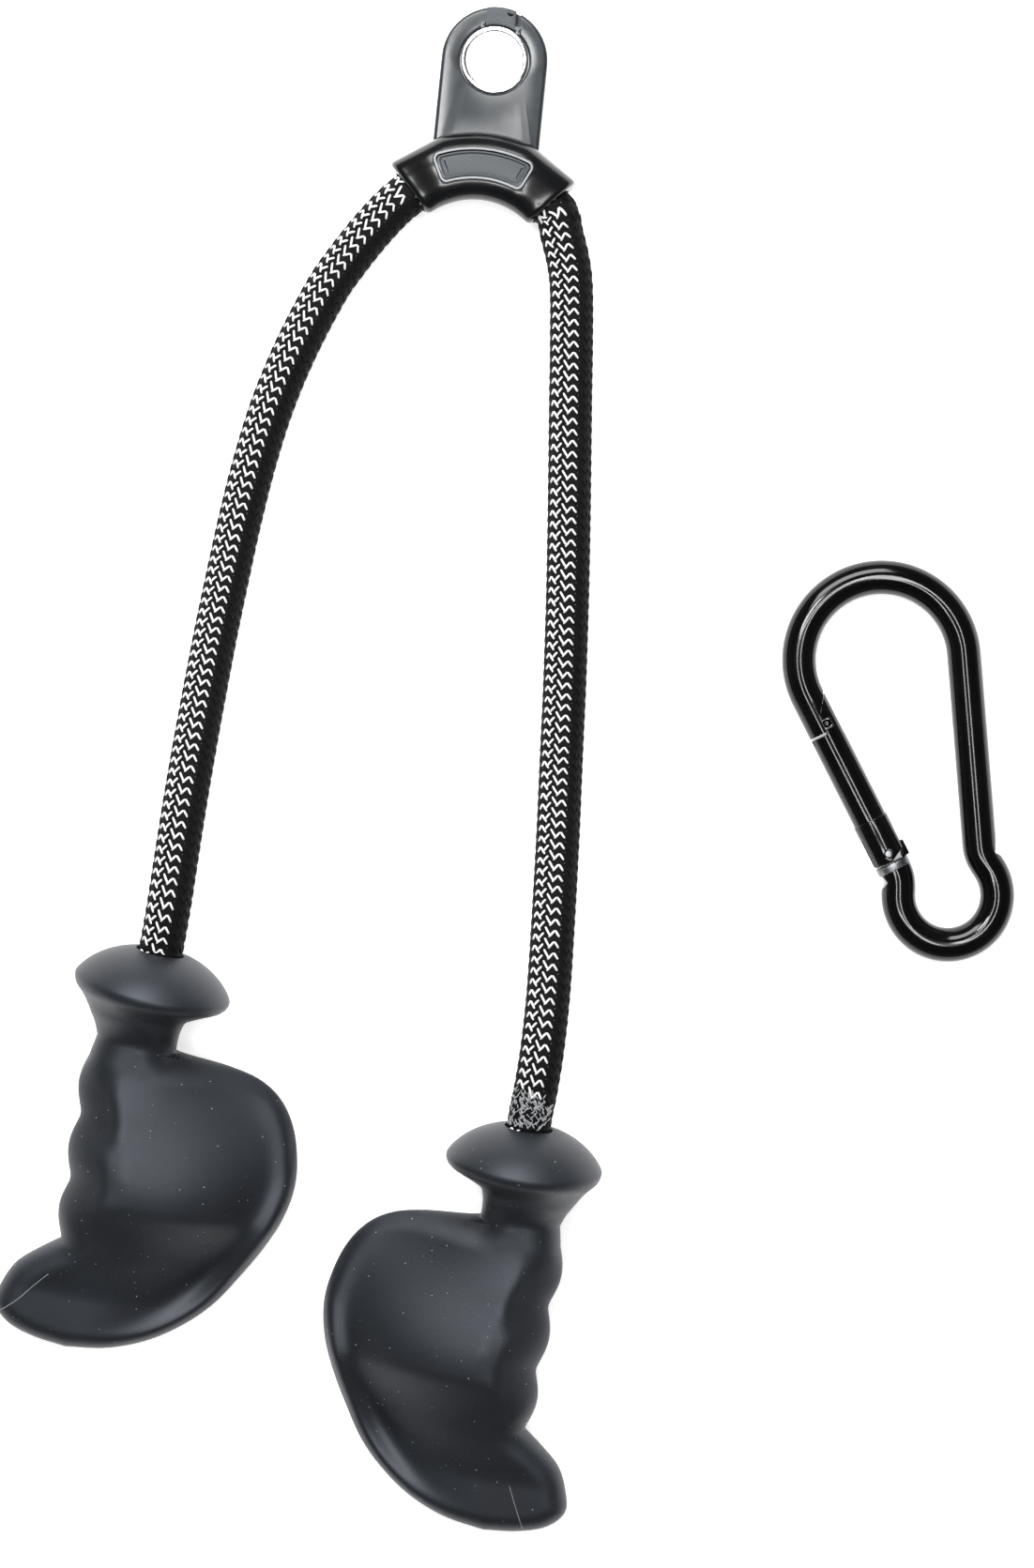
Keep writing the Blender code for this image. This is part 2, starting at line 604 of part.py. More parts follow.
def build_handle(name, handle):
    frame = empty("handle_frame_" + name, handle_matrix(handle))
    side = handle["side"]
    grip = piece("grip_" + name, handle_form(side), RUBBER, frame)

    sleeve_radius = ROPE_BORE / 2 + SLEEVE_WALL
    flange_top = SLEEVE_END - FLANGE_THICKNESS
    washer_top = SLEEVE_END + FIT_GAP
    ferrule_top = washer_top + WASHER_THICKNESS + FIT_GAP
    ferrule_end = ferrule_top + FERRULE_LENGTH
    pocket_end = ferrule_end + 2 * FIT_GAP
    pocket = FLANGE_RADIUS + FIT_GAP
    rope_room = ROPE_RADIUS + FIT_GAP
    hole = [
        (0, -DOME_HEIGHT - CUT_OVERRUN), (rope_room, -DOME_HEIGHT - CUT_OVERRUN),
        (rope_room, SLEEVE_TOP - FIT_GAP), (sleeve_radius + FIT_GAP, SLEEVE_TOP - FIT_GAP),
        (sleeve_radius + FIT_GAP, flange_top - FIT_GAP), (pocket, flange_top - FIT_GAP),
        (pocket, pocket_end), (0, pocket_end),
    ]
    combine(grip, piece("grip_bore_" + name, turned(hole, place=BORE_ALONG_Y), None, frame))
    deep = COLUMN_RADIUS + BACK_SWELL
    window = WINDOW_HALF_WIDTH
    opening = block(-window, window, -pocket_end, -washer_top, -deep, 0)
    combine(grip, piece("grip_window_" + name, opening, None, frame))

    sleeve = [(ROPE_BORE / 2, SLEEVE_TOP), (sleeve_radius, SLEEVE_TOP), (sleeve_radius, flange_top),
              (FLANGE_RADIUS, flange_top), (FLANGE_RADIUS, SLEEVE_END), (ROPE_BORE / 2, SLEEVE_END)]
    piece("core_sleeve_" + name, turned(sleeve, place=BORE_ALONG_Y), NYLON, frame)
    washer = tube(rope_room, FLANGE_RADIUS, washer_top, washer_top + WASHER_THICKNESS, place=BORE_ALONG_Y)
    piece("washer_" + name, washer, BRIGHT_STEEL, frame)
    ferrule = tube(rope_room, rope_room + FERRULE_WALL, ferrule_top, ferrule_end, place=BORE_ALONG_Y)
    piece("ferrule_" + name, ferrule, ALUMINIUM, frame)
    tail = rod(ROPE_RADIUS, -DOME_HEIGHT + FIT_GAP / 2, ferrule_end, SMALL_SIDES, BORE_ALONG_Y)
    piece("rope_tail_" + name, tail, BRAID, frame)
    cap_top = -(FLANGE_RADIUS + 2 * FIT_GAP)
    cap_half = window - FIT_GAP
    cap = block(-cap_half, cap_half, -pocket_end + FIT_GAP, -washer_top - FIT_GAP, -deep, cap_top)
    rear_cap = piece("rear_cap_" + name, cap, RUBBER, frame)
    combine(rear_cap, piece("cap_form_" + name, handle_form(side), None, frame), "INTERSECT")


def build_rope(name, handle, route, side):
    """The free rope from the saddle's mouth to the handle, in a frame on the mouth."""
    gap = FIT_GAP / 2
    mouth = hanger_frame.matrix_world @ saddle_station(side * SADDLE_HALF_ANGLE)
    out = mouth.to_3x3() @ Vector((0, 0, side))
    entry = handle_matrix(handle)
    into = entry.to_3x3() @ Vector((0, 1, 0))
    start = mouth.translation + out * gap
    end = entry @ Vector((0, DOME_HEIGHT + gap, 0))
    points = [start, start + out * ROPE_LEAD, *route, end + into * ROPE_LEAD, end]
    line = smooth_line(points, ROUTE_STEPS)
    length = sum((b - a).length for a, b in zip(line, line[1:]))
    count = round((length - 2 * ROPE_LEAD) / ROPE_STEP)
    stops = [0] + [ROPE_LEAD + (length - 2 * ROPE_LEAD) * k / count for k in range(count + 1)]
    spots = spaced(line, stops) + [end]
    leg = empty("leg_frame_" + name, Matrix.Translation(mouth.translation))
    spots = [spot - mouth.translation for spot in spots]
    cord("rope_" + name, spots, ROPE_DIAMETER, BRAID, leg, ROPE_RESOLUTION)
    print(f"rope_{name}: {length:.4f} m")


# Snap hook

hook_frame = empty("hook_frame", Matrix.Translation((HOOK_X, HOOK_Y, WIRE_RADIUS))
                   @ Matrix.Rotation(HOOK_LEAN, 4, "Z"))


def flank(drop):
    """How far the straight flanks stand from the long axis, so far below the large bend's centre."""
    return (LARGE_BEND - drop * math.sin(TAPER)) / math.cos(TAPER)


pin_place = Matrix.Translation((-flank(PIN_DROP), -PIN_DROP, 0)) @ Matrix.Rotation(TAPER, 4, "Z")
gate_frame = empty("gate_frame", hook_frame.matrix_world @ pin_place)
NOSE_ALONG = (PIN_DROP - NOSE_DROP) / math.cos(TAPER)


def wire_rings(path):
    """Round sections along a flat path, square to it; the ends are square to their own runs."""
    points = [Vector((x, y, 0)) for x, y in path]
    rings = []
    for k, point in enumerate(points):
        before = points[max(0, k - 1)]
        after = points[min(len(points) - 1, k + 1)]
        ahead = (point - before).normalized() + (after - point).normalized()
        across = Vector((ahead.y, -ahead.x, 0)).normalized()
        rings.append([point + across * x + Vector((0, 0, y)) for x, y in circle(WIRE_RADIUS, WIRE_SIDES)])
    return rings


def on_gate(along):
    spot = pin_place @ Vector((0, along, 0))
    return (spot.x, spot.y)


def build_hook():
    waist = flank(WAIST_DROP)
    path = [on_gate(NOSE_ALONG)]
    path += arc((0, 0), LARGE_BEND, math.pi + TAPER, -TAPER, LARGE_BEND_STEPS)
    path.append((waist, -WAIST_DROP))
    path += arc((0, -BEND_DISTANCE), SMALL_BEND, SHOULDER_ANGLE, -math.pi - SHOULDER_ANGLE, SMALL_BEND_STEPS)
    path += [(-waist, -WAIST_DROP), on_gate(-HEEL - HEEL_GAP)]
    body = piece("carabiner_body", loft(wire_rings(path)), HOOK_PAINT, hook_frame)

    wide = WIRE_DIAMETER
    low = NOSE_ALONG - CUT_OVERRUN
    ramp = [(0, low), (0, NOSE_ALONG + NOSE_RAMP_LOW), (WIRE_RADIUS, NOSE_ALONG + NOSE_RAMP_HIGH),
            (wide, NOSE_ALONG + NOSE_RAMP_HIGH), (wide, low)]
    combine(body, piece("nose_ramp", prism(ramp, -wide, wide), None, gate_frame))
    latch_x, latch_y = LATCH_ACROSS, NOSE_ALONG + LATCH_ALONG
    latch_radius = LATCH_DIAMETER / 2
    tongue = block(-latch_radius, latch_x + latch_radius, latch_y - latch_radius,
                   NOSE_ALONG + (NOSE_RAMP_LOW + NOSE_RAMP_HIGH) / 2, -NOSE_TONGUE / 2, NOSE_TONGUE / 2)
    combine(body, piece("nose_tongue", tongue, None, gate_frame), "UNION")
    head = rod(latch_radius, -LATCH_LENGTH / 2, LATCH_LENGTH / 2, SMALL_SIDES,
               Matrix.Translation((latch_x, latch_y, 0)))
    combine(body, piece("nose_head", head, None, gate_frame), "UNION")

    hinge = block(-TONGUE_HALF_WIDTH, TONGUE_HALF_WIDTH, -HEEL - HEEL_GAP - WIRE_RADIUS / 2, TONGUE_REACH,
                  -HINGE_TONGUE / 2, HINGE_TONGUE / 2)
    combine(body, piece("hinge_tongue", hinge, None, gate_frame), "UNION")
    hole = rod(PIN_DIAMETER / 2 + FIT_GAP, -wide, wide, ROUND_SIDES)
    combine(body, piece("hinge_hole", hole, None, gate_frame))


def build_gate():
    wide = WIRE_DIAMETER
    top = NOSE_ALONG - NOSE_GAP
    form = rod(WIRE_RADIUS, HEEL, -NOSE_ALONG - CHEEK_REACH, GATE_SIDES, BORE_ALONG_Y)
    gate = piece("carabiner_gate", form, HOOK_PAINT, gate_frame)
    heel = [(0, -HEEL), (wide, -HEEL + wide / 2), (wide, -wide), (0, -wide)]
    combine(gate, piece("gate_heel", prism(heel, -wide, wide), None, gate_frame))
    slot = HINGE_TONGUE / 2 + RUN_GAP
    fork = block(-wide, wide, -wide, HINGE_SLOT_DEPTH, -slot, slot)
    combine(gate, piece("gate_slot", fork, None, gate_frame))
    bore = rod(BORE_DIAMETER / 2, -HINGE_SLOT_DEPTH + RUN_GAP, -BORE_DEPTH, WIRE_SIDES, BORE_ALONG_Y)
    combine(gate, piece("gate_bore", bore, None, gate_frame))
    hole = rod(PIN_DIAMETER / 2 + FIT_GAP, -wide, wide, ROUND_SIDES)
    combine(gate, piece("gate_pin_hole", hole, None, gate_frame))
    reach = NOSE_ALONG + wide
    outer = block(-wide, RUN_GAP, top, reach, -wide, wide)
    combine(gate, piece("gate_nose_cut", outer, None, gate_frame))
    slot = NOSE_TONGUE / 2 + RUN_GAP
    mouth = block(-wide, wide, top - NOSE_SLOT_DEPTH, reach, -slot, slot)
    combine(gate, piece("gate_nose_slot", mouth, None, gate_frame))
    latch_y = NOSE_ALONG + LATCH_ALONG
    notch = block(-wide, LATCH_ACROSS + NOTCH_ROOM, latch_y - NOTCH_ROOM, latch_y + NOTCH_ROOM, -wide, wide)
    combine(gate, piece("gate_notch", notch, None, gate_frame))

    pin_half = WIRE_RADIUS - PIN_SET
    piece("gate_pin", rod(PIN_DIAMETER / 2, -pin_half, pin_half, SMALL_SIDES), BRIGHT_STEEL, gate_frame)

    plunger_radius = BORE_DIAMETER / 2 - FIT_GAP
    nose = TONGUE_REACH + FIT_GAP
    rear = nose + PLUNGER_LENGTH
    profile = []
    for k in range(PLUNGER_NOSE_STEPS + 1):
        turn = math.pi / 2 * k / PLUNGER_NOSE_STEPS
        profile.append((plunger_radius * math.sin(turn), nose + plunger_radius * (1 - math.cos(turn))))
    profile += [(plunger_radius, rear), (0, rear)]
    flip = BORE_ALONG_Y @ Matrix.Rotation(math.pi, 4, "X")
    piece("gate_plunger", turned(profile, SMALL_SIDES, flip), BRIGHT_STEEL, gate_frame)

    # The spring is drawn as short as the open gate presses it
    first = rear + PLUNGER_TRAVEL + FIT_GAP + SPRING_WIRE / 2
    last = BORE_DEPTH - FIT_GAP - SPRING_WIRE / 2
    coil = BORE_DIAMETER / 2 - FIT_GAP - SPRING_WIRE / 2
    count = SPRING_TURNS * SPRING_POINTS
    points = []
    for k in range(count + 1):
        turn = 2 * math.pi * k / SPRING_POINTS
        along = first + (last - first) * k / count
        points.append(Vector((coil * math.cos(turn), along, coil * math.sin(turn))))
    cord("gate_spring", points, SPRING_WIRE, BRIGHT_STEEL, gate_frame, 1)
    least = min((a - b).length for k, a in enumerate(points) for b in points[k + SPRING_POINTS // 2:])
    print(f"gate_spring: least gap to itself {(least - SPRING_WIRE) * 1000:.2f} mm")


build_saddle()
build_plate()
bpy.context.view_layer.update()
build_handle("left", LEFT_HANDLE)
build_rope("left", LEFT_HANDLE, ROUTE_LEFT, -1)
build_handle("right", RIGHT_HANDLE)
build_rope("right", RIGHT_HANDLE, ROUTE_RIGHT, 1)
build_hook()
build_gate()
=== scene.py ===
import random
from bisect import bisect_right
from math import asin, atan2, ceil, copysign, cos, degrees, exp, hypot, pi, radians, sin, sqrt

import bmesh
import bpy
import numpy as np
from mathutils import Matrix, Vector
from mathutils.bvhtree import BVHTree
from mathutils.geometry import interpolate_bezier


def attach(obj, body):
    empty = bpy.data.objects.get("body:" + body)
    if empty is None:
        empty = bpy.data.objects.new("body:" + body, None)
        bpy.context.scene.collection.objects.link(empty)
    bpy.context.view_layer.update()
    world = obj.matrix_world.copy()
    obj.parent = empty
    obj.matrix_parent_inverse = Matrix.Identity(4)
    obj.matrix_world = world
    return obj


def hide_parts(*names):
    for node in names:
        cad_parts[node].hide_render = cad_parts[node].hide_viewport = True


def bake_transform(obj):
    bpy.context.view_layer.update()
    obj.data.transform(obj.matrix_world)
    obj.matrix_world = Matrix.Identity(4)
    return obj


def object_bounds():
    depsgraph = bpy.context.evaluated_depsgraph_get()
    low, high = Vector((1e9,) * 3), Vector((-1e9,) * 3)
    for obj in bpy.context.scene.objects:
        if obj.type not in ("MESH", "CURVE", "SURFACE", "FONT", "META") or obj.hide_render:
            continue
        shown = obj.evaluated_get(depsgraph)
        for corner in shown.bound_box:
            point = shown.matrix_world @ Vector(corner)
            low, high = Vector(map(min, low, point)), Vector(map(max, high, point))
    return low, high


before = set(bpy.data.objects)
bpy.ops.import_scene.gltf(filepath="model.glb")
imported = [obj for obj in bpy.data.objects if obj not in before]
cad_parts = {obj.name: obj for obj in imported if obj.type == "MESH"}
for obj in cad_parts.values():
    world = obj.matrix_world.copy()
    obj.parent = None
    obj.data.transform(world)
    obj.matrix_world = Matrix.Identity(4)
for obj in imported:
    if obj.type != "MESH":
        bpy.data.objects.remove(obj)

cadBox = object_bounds()
mm = 0.001
fullTurn = 2 * pi
scene = bpy.context.scene
scene.view_settings.view_transform = "Standard"


def linear(hexColour):
    # sRGB hex to the linear values that Blender works in
    parts = [int(hexColour[k:k + 2], 16) / 255 for k in (1, 3, 5)]
    return (*[p / 12.92 if p <= 0.04045 else ((p + 0.055) / 1.055) ** 2.4 for p in parts], 1)


def addNode(tree, kind, settings=None, **links):
    # a node with its settings, then its inputs: a socket is linked, anything else is a value
    node = tree.nodes.new("ShaderNode" + kind)
    for key, value in (settings or {}).items():
        if key == "stops":
            band = node.color_ramp.elements
            while len(band) < len(value):
                band.new(0.5)
            for element, (position, colour) in zip(band, value):
                element.position = position
                element.color = linear(colour)
        else:
            setattr(node, key, value)
    for key, value in links.items():
        socket = node.inputs[int(key[2:])] if key.startswith("in") else node.inputs[key.replace("_", " ")]
        if isinstance(value, bpy.types.NodeSocket):
            tree.links.new(value, socket)
        else:
            socket.default_value = value
    return node


def newMaterial(name, **values):
    material = bpy.data.materials.new(name)
    material.use_nodes = True
    tree = material.node_tree
    shader = tree.nodes["Principled BSDF"]
    for key, value in values.items():
        shader.inputs[key.replace("_", " ")].default_value = value
    return material, tree, shader


def join(tree, out, shader, socket):
    tree.links.new(out, shader.inputs[socket])


def addObject(name, data):
    made = bpy.data.objects.new(name, data)
    bpy.context.collection.objects.link(made)
    return made


def meshOf(bm, name="part"):
    mesh = bpy.data.meshes.new(name)
    bm.to_mesh(mesh)
    return mesh


def addPiece(name, bm, materials, smooth=40, place=None):
    # the finished mesh on an object at the origin, with its place in the mesh
    if place is not None:
        bm.transform(place)
    mesh = meshOf(bm, name)
    bm.free()
    for material in materials:
        mesh.materials.append(material)
    mesh.shade_smooth()
    mesh.set_sharp_from_angle(angle=radians(smooth))
    return addObject(name, mesh)


def settled(bm, holder):
    # what the holder's modifiers or its curve make, put into bm
    done = holder.evaluated_get(bpy.context.evaluated_depsgraph_get()).to_mesh()
    bm.clear()
    bm.from_mesh(done)
    bpy.data.objects.remove(holder)
    return bm


def arrayed(bm, count, offset):
    holder = addObject("part", meshOf(bm))
    step = holder.modifiers.new("copies", "ARRAY")
    step.count = count
    step.use_relative_offset = False
    step.use_constant_offset = True
    step.constant_offset_displace = offset
    return settled(bm, holder)


def cut(bm, tool, operation="DIFFERENCE"):
    # a Boolean of two meshes, done at once
    holder, other = (addObject("part", meshOf(part)) for part in (bm, tool))
    tool.free()
    step = holder.modifiers.new("cut", "BOOLEAN")
    step.operation = operation
    step.object = other
    settled(bm, holder)
    bpy.data.objects.remove(other)
    return bm


def mergeInto(bm, other):
    mesh = meshOf(other)
    other.free()
    bm.from_mesh(mesh)
    bpy.data.meshes.remove(mesh)


def closed(bm, weld=0):
    # welds an open seam, fills what is still open and turns the faces outwards
    if weld:
        bmesh.ops.remove_doubles(bm, verts=[v for v in bm.verts if v.is_boundary], dist=weld)
    bmesh.ops.holes_fill(bm, edges=[e for e in bm.edges if e.is_boundary])
    bmesh.ops.recalc_face_normals(bm, faces=bm.faces)
    return bm


def sharpEdges(bm, angle=1.0):
    return [e for e in bm.edges if e.is_manifold and e.calc_face_angle(0) > angle]


def soften(bm, edges, offset, segments=4, clamp=True):
    bmesh.ops.bevel(bm, geom=edges, offset=offset, segments=segments, profile=0.5, affect="EDGES",
                    material=-1, clamp_overlap=clamp)
    return bm


def block(low, high):
    bm = bmesh.new()
    bmesh.ops.create_cube(bm, size=1)
    low, high = Vector(low), Vector(high)
    bmesh.ops.scale(bm, verts=bm.verts, vec=high - low)
    bmesh.ops.translate(bm, verts=bm.verts, vec=(low + high) / 2)
    return bm


def ease(value, low, high):
    share = min(1, max(0, (value - low) / (high - low)))
    return share * share * (3 - 2 * share)


def smoothLine(points, perSpan):
    # a curve through the points, with so many steps from each to the next
    points = [Vector(p) for p in points]
    ends = [2 * points[0] - points[1]] + points + [2 * points[-1] - points[-2]]
    line = []
    for before, a, b, after in zip(ends, ends[1:], ends[2:], ends[3:]):
        for k in range(perSpan):
            t = k / perSpan
            line.append(0.5 * (2 * a + (b - before) * t + (2 * before - 5 * a + 4 * b - after) * t * t
                               + (3 * a - before - 3 * b + after) * t ** 3))
    return line + [points[-1]]


# Camera: straight down, as the product photograph
camera = {"place": (0.0042, -0.0050, 1.2), "lens": 77.04, "longSide": 36}
cameraObject = addObject("camera", bpy.data.cameras.new("camera"))
cameraObject.data.lens = camera["lens"]
cameraObject.data.sensor_width = camera["longSide"]
cameraObject.data.clip_end = 50
cameraObject.location = camera["place"]
scene.camera = cameraObject
print("camera ready")

# Studio: pale floor, a dim ceiling with a bright horizon, and soft boxes
studio = {
    "floorSize": 24, "floorLift": 0.52, "ceiling": 0.06, "horizon": 0.20, "fade": (0.12, 0.55),
    # name, place, aim, size, watts; the strips hang round the camera and draw the lines on the gloss
    "boxes": (
        ("keyBox", (-0.12, 0.88, 0.90), (0, -0.05, 0), (0.90, 0.50), 16),
        ("plateBox", (-0.26, 0.40, 1.10), (-0.05, 0.20, 0), (0.30, 0.20), 6),
        ("stripLeft", (-0.23, 0, 1.16), (-0.23, 0, 0), (0.07, 0.50), 3),
        ("stripRight", (0.25, 0, 1.16), (0.25, 0, 0), (0.07, 0.50), 3),
        ("stripTop", (0, 0.23, 1.16), (0, 0.23, 0), (0.50, 0.07), 3),
        ("stripLow", (0, -0.25, 1.16), (0, -0.25, 0), (0.50, 0.07), 3),
    ),
}


def buildStudio():
    world = bpy.data.worlds.new("studio")
    world.use_nodes = True
    tree = world.node_tree
    place = addNode(tree, "TexCoord").outputs["Generated"]
    height = addNode(tree, "SeparateXYZ", in0=place).outputs["Z"]
    low, high = studio["fade"]
    level = addNode(tree, "MapRange", {"interpolation_type": "SMOOTHSTEP"}, Value=height, From_Min=low,
                    From_Max=high, To_Min=studio["horizon"], To_Max=studio["ceiling"]).outputs["Result"]
    background = tree.nodes["Background"]
    background.inputs["Color"].default_value = (1, 1, 1, 1)
    join(tree, level, background, "Strength")
    scene.world = world

    # painted floor: pale and matt, white to the camera and in reflections, and it keeps the shadow
    bm = bmesh.new()
    bmesh.ops.create_circle(bm, cap_ends=True, segments=64, radius=studio["floorSize"] / 2)
    material, tree, shader = newMaterial("pale floor", Roughness=0.9, Base_Color=linear("#f4f4f4"))
    path = addNode(tree, "LightPath").outputs
    seen = path["Is Camera Ray"]
    for ray in ("Is Glossy Ray", "Is Transmission Ray"):
        seen = addNode(tree, "Math", {"operation": "MAXIMUM"}, in0=seen, in1=path[ray]).outputs[0]
    lift = addNode(tree, "Math", {"operation": "MULTIPLY"}, in0=seen, in1=studio["floorLift"]).outputs[0]
    shader.inputs["Emission Color"].default_value = (1, 1, 1, 1)
    join(tree, lift, shader, "Emission Strength")
    floor = addPiece("floor", bm, [material])
    floor.location.z = cadBox[0].z - 0.2 * mm

    for name, place, aim, size, watts in studio["boxes"]:
        light = bpy.data.lights.new(name, "AREA")
        light.shape = "RECTANGLE"
        light.size, light.size_y = size
        light.energy = watts
        lamp = addObject(name, light)
        lamp.location = place
        lamp.rotation_euler = (Vector(aim) - Vector(place)).to_track_quat("-Z", "Y").to_euler()
        lamp.visible_camera = False


buildStudio()
print("studio ready")

# Handles' frames: on the rope's axis at the disc's rim, +Y up the rope; angles in degrees
handles = {
    "left": {"side": 1, "place": (-0.1231, -0.0756, 0.0273), "lean": -13.0},
    "right": {"side": -1, "place": (0.0067, -0.1372, 0.0273), "lean": -7.5},
}
handleTilt, handleSwivel = 7.25, 4.0


def handleMatrix(handle):
    turn = (Matrix.Rotation(radians(handle["lean"]), 4, "Z")
            @ Matrix.Rotation(radians(handleTilt), 4, "X")
            @ Matrix.Rotation(radians(handle["side"] * handleSwivel), 4, "Y"))
    return Matrix.Translation(handle["place"]) @ turn


# Rope: a black core under a braid of stitches, white on the front and black elsewhere
rope = {
    "diameter": 16 * mm, "core": 7.62 * mm, "bend": 24 * mm, "tail": (12.9 * mm, -84.2 * mm),
    "disc": 13.25 * mm, "lead": 4 * mm, "gap": 0.15 * mm, "steps": 20, "stitchMesh": (6, 5),
    "stitchRise": 0.45 * mm, "stitchWidth": 0.86 * mm, "rowStep": 3.9 * mm, "pairsAround": 13,
    "pairLean": 0.6 * mm,
    # a black pair of stitches: how wide the first is as a share, how far each runs along, how flat they lie
    "knee": 0.414, "blackRun": (2.5 * mm, 3.1 * mm), "blackRise": 0.4,
    # one row of white stitches, each from one (round, along) place to another in mm
    "whites": ((0.0, 1.95, 1.55, 0.0), (1.55, 0.0, 3.85, 3.0), (3.15, 1.85, 5.3, -0.3),
               (5.65, 1.5, 7.7, 4.8), (7.2, 5.3, 9.4, 2.7), (9.4, 2.7, 11.2, 5.05)),
    "whitePairs": 3, "whiteStart": -61.6, "frayed": 12 * mm, "frayStrands": 170, "frayWidth": 0.42,
    # name, dark and light tone, specular level; then the width of a bundle of filaments in mm
    "yarns": (("braided polyester, black", "#030303", "#08080a", 0.10),
              ("braided polyester, white", "#a8a8a8", "#e6e6e6", 0.25),
              ("braided polyester, worn grey", "#5f6062", "#a6a7a9", 0.25)),
    "bundle": 0.2244,
}
ropes = {
    "left": {
        "mouth": (-0.03347, 0.20437, 0.012), "out": (-0.79653, -0.6046, 0), "length": 0.289,
        "route": (
            (-0.0408, 0.1984, 0.0114), (-0.0483, 0.1904, 0.0104), (-0.0565, 0.1803, 0.0092),
            (-0.0636, 0.1701, 0.0086), (-0.0741, 0.1501, 0.0083), (-0.0825, 0.1301, 0.0082),
            (-0.0888, 0.1101, 0.0082), (-0.0939, 0.0901, 0.0083), (-0.0982, 0.0701, 0.0094),
            (-0.1021, 0.0500, 0.0126), (-0.1055, 0.0300, 0.0171), (-0.1087, 0.0100, 0.0220),
            (-0.1117, -0.0098, 0.0262), (-0.1145, -0.0294, 0.0292), (-0.1169, -0.0460, 0.0306),
        ),
    },
    "right": {
        "mouth": (0.01606, 0.19934, 0.012), "out": (0.65869, -0.75242, 0), "length": 0.328,
        "route": (
            (0.0200, 0.1903, 0.0111), (0.0224, 0.1803, 0.0098), (0.0235, 0.1701, 0.0089),
            (0.0235, 0.1500, 0.0083), (0.0232, 0.1301, 0.0082), (0.0227, 0.0902, 0.0082),
            (0.0221, 0.0602, 0.0082), (0.0211, 0.0300, 0.0085), (0.0204, 0.0150, 0.0093),
            (0.0197, 0.0002, 0.0109), (0.0188, -0.0198, 0.0146), (0.0177, -0.0396, 0.0192),
            (0.0165, -0.0591, 0.0238), (0.0151, -0.0787, 0.0276), (0.0132, -0.0960, 0.0300),
            (0.0110, -0.1100, 0.0305),
        ),
    },
}


def ropeLine(name):
    # straight out of the saddle's mouth, along the route, straight into the handle's disc
    run, lead = ropes[name], rope["lead"]
    out = Vector(run["out"])
    entry = handleMatrix(handles[name])
    end = entry @ Vector((0, rope["disc"], 0))
    into = entry.to_3x3() @ Vector((0, 1, 0))
    start = Vector(run["mouth"]) + out * rope["gap"]
    return smoothLine([start, start + out * lead, *run["route"], end + into * lead, end], rope["steps"])


def layUv(bm, faces, across, along):
    # a UV map in mm, read off two of the mesh's axes
    uv = bm.loops.layers.uv.verify()
    for face in faces:
        for loop in face.loops:
            loop[uv].uv = (loop.vert.co[across] / mm, loop.vert.co[along] / mm)


def stitch(bm, start, end, share=1.0):
    # one stitch lying flat, fuller than an ellipsoid: x goes round the rope, y along it, z out of it
    sides, rings = rope["stitchMesh"]
    made = bmesh.ops.create_uvsphere(bm, u_segments=sides, v_segments=rings, radius=1)["verts"]
    start, end = Vector(start), Vector(end)
    run = end - start
    for vert in made:
        x, y, z = vert.co
        fuller = (1 - abs(z) ** 6) ** 0.4 / max(0.001, hypot(x, y)) if abs(z) < 0.999 else 0
        vert.co = (x * fuller * share * rope["stitchWidth"] / 2, y * fuller * share * rope["stitchRise"],
                   z * run.length / 2)
    layUv(bm, {face for vert in made for face in vert.link_faces}, 0, 2)
    turn = (Matrix.Rotation(atan2(run.y, run.x) - pi / 2, 4, "Z")
            @ Matrix.Rotation(-pi / 2, 4, "X"))
    bmesh.ops.transform(bm, matrix=Matrix.Translation((start + end) / 2) @ turn, verts=made)


def wrapOnRope(bm, line):
    # bends the flat sheet round the line: x goes round it, y along it, z out of it
    lengths, frames = [0], []
    for a, b in zip(line, line[1:]):
        lengths.append(lengths[-1] + (b - a).length)
    for k, point in enumerate(line):
        along = (line[min(k + 1, len(line) - 1)] - line[max(0, k - 1)]).normalized()
        right = Vector((0, 0, 1)).cross(along).normalized()
        frames.append((point, right, along.cross(right)))
    for vert in bm.verts:
        x, y, z = vert.co
        y = min(max(y, 0), lengths[-1])
        k = min(bisect_right(lengths, y), len(lengths) - 1) - 1
        share = (y - lengths[k]) / (lengths[k + 1] - lengths[k])
        point, right, up = (a.lerp(b, share) for a, b in zip(frames[k], frames[k + 1]))
        turn = x / (rope["diameter"] / 2) + radians(rope["whiteStart"])
        vert.co = point + (right * sin(turn) + up * cos(turn)) * (rope["core"] + z)


def braidMaterials():
    # polyester yarn: matt and slightly lustrous, with fine lines where its filaments lie side by side
    made = []
    for name, low, high, shine in rope["yarns"]:
        material, tree, shader = newMaterial(name, Roughness=0.62, Specular_IOR_Level=shine)
        uv = addNode(tree, "UVMap").outputs["UV"]
        strands = addNode(tree, "TexWave", {"bands_direction": "X"}, Vector=uv, Distortion=0.6, Detail=1.0,
                          Scale=fullTurn / 20 / rope["bundle"]).outputs["Fac"]  # a band is 1/20 turn wide
        tint = addNode(tree, "ValToRGB", {"stops": ((0.0, low), (0.65, high))}, in0=strands)
        join(tree, tint.outputs["Color"], shader, "Base Color")
        bump = addNode(tree, "Bump", Strength=0.35, Distance=0.1 * mm, Height=strands).outputs["Normal"]
        join(tree, bump, shader, "Normal")
        made.append(material)
    return made


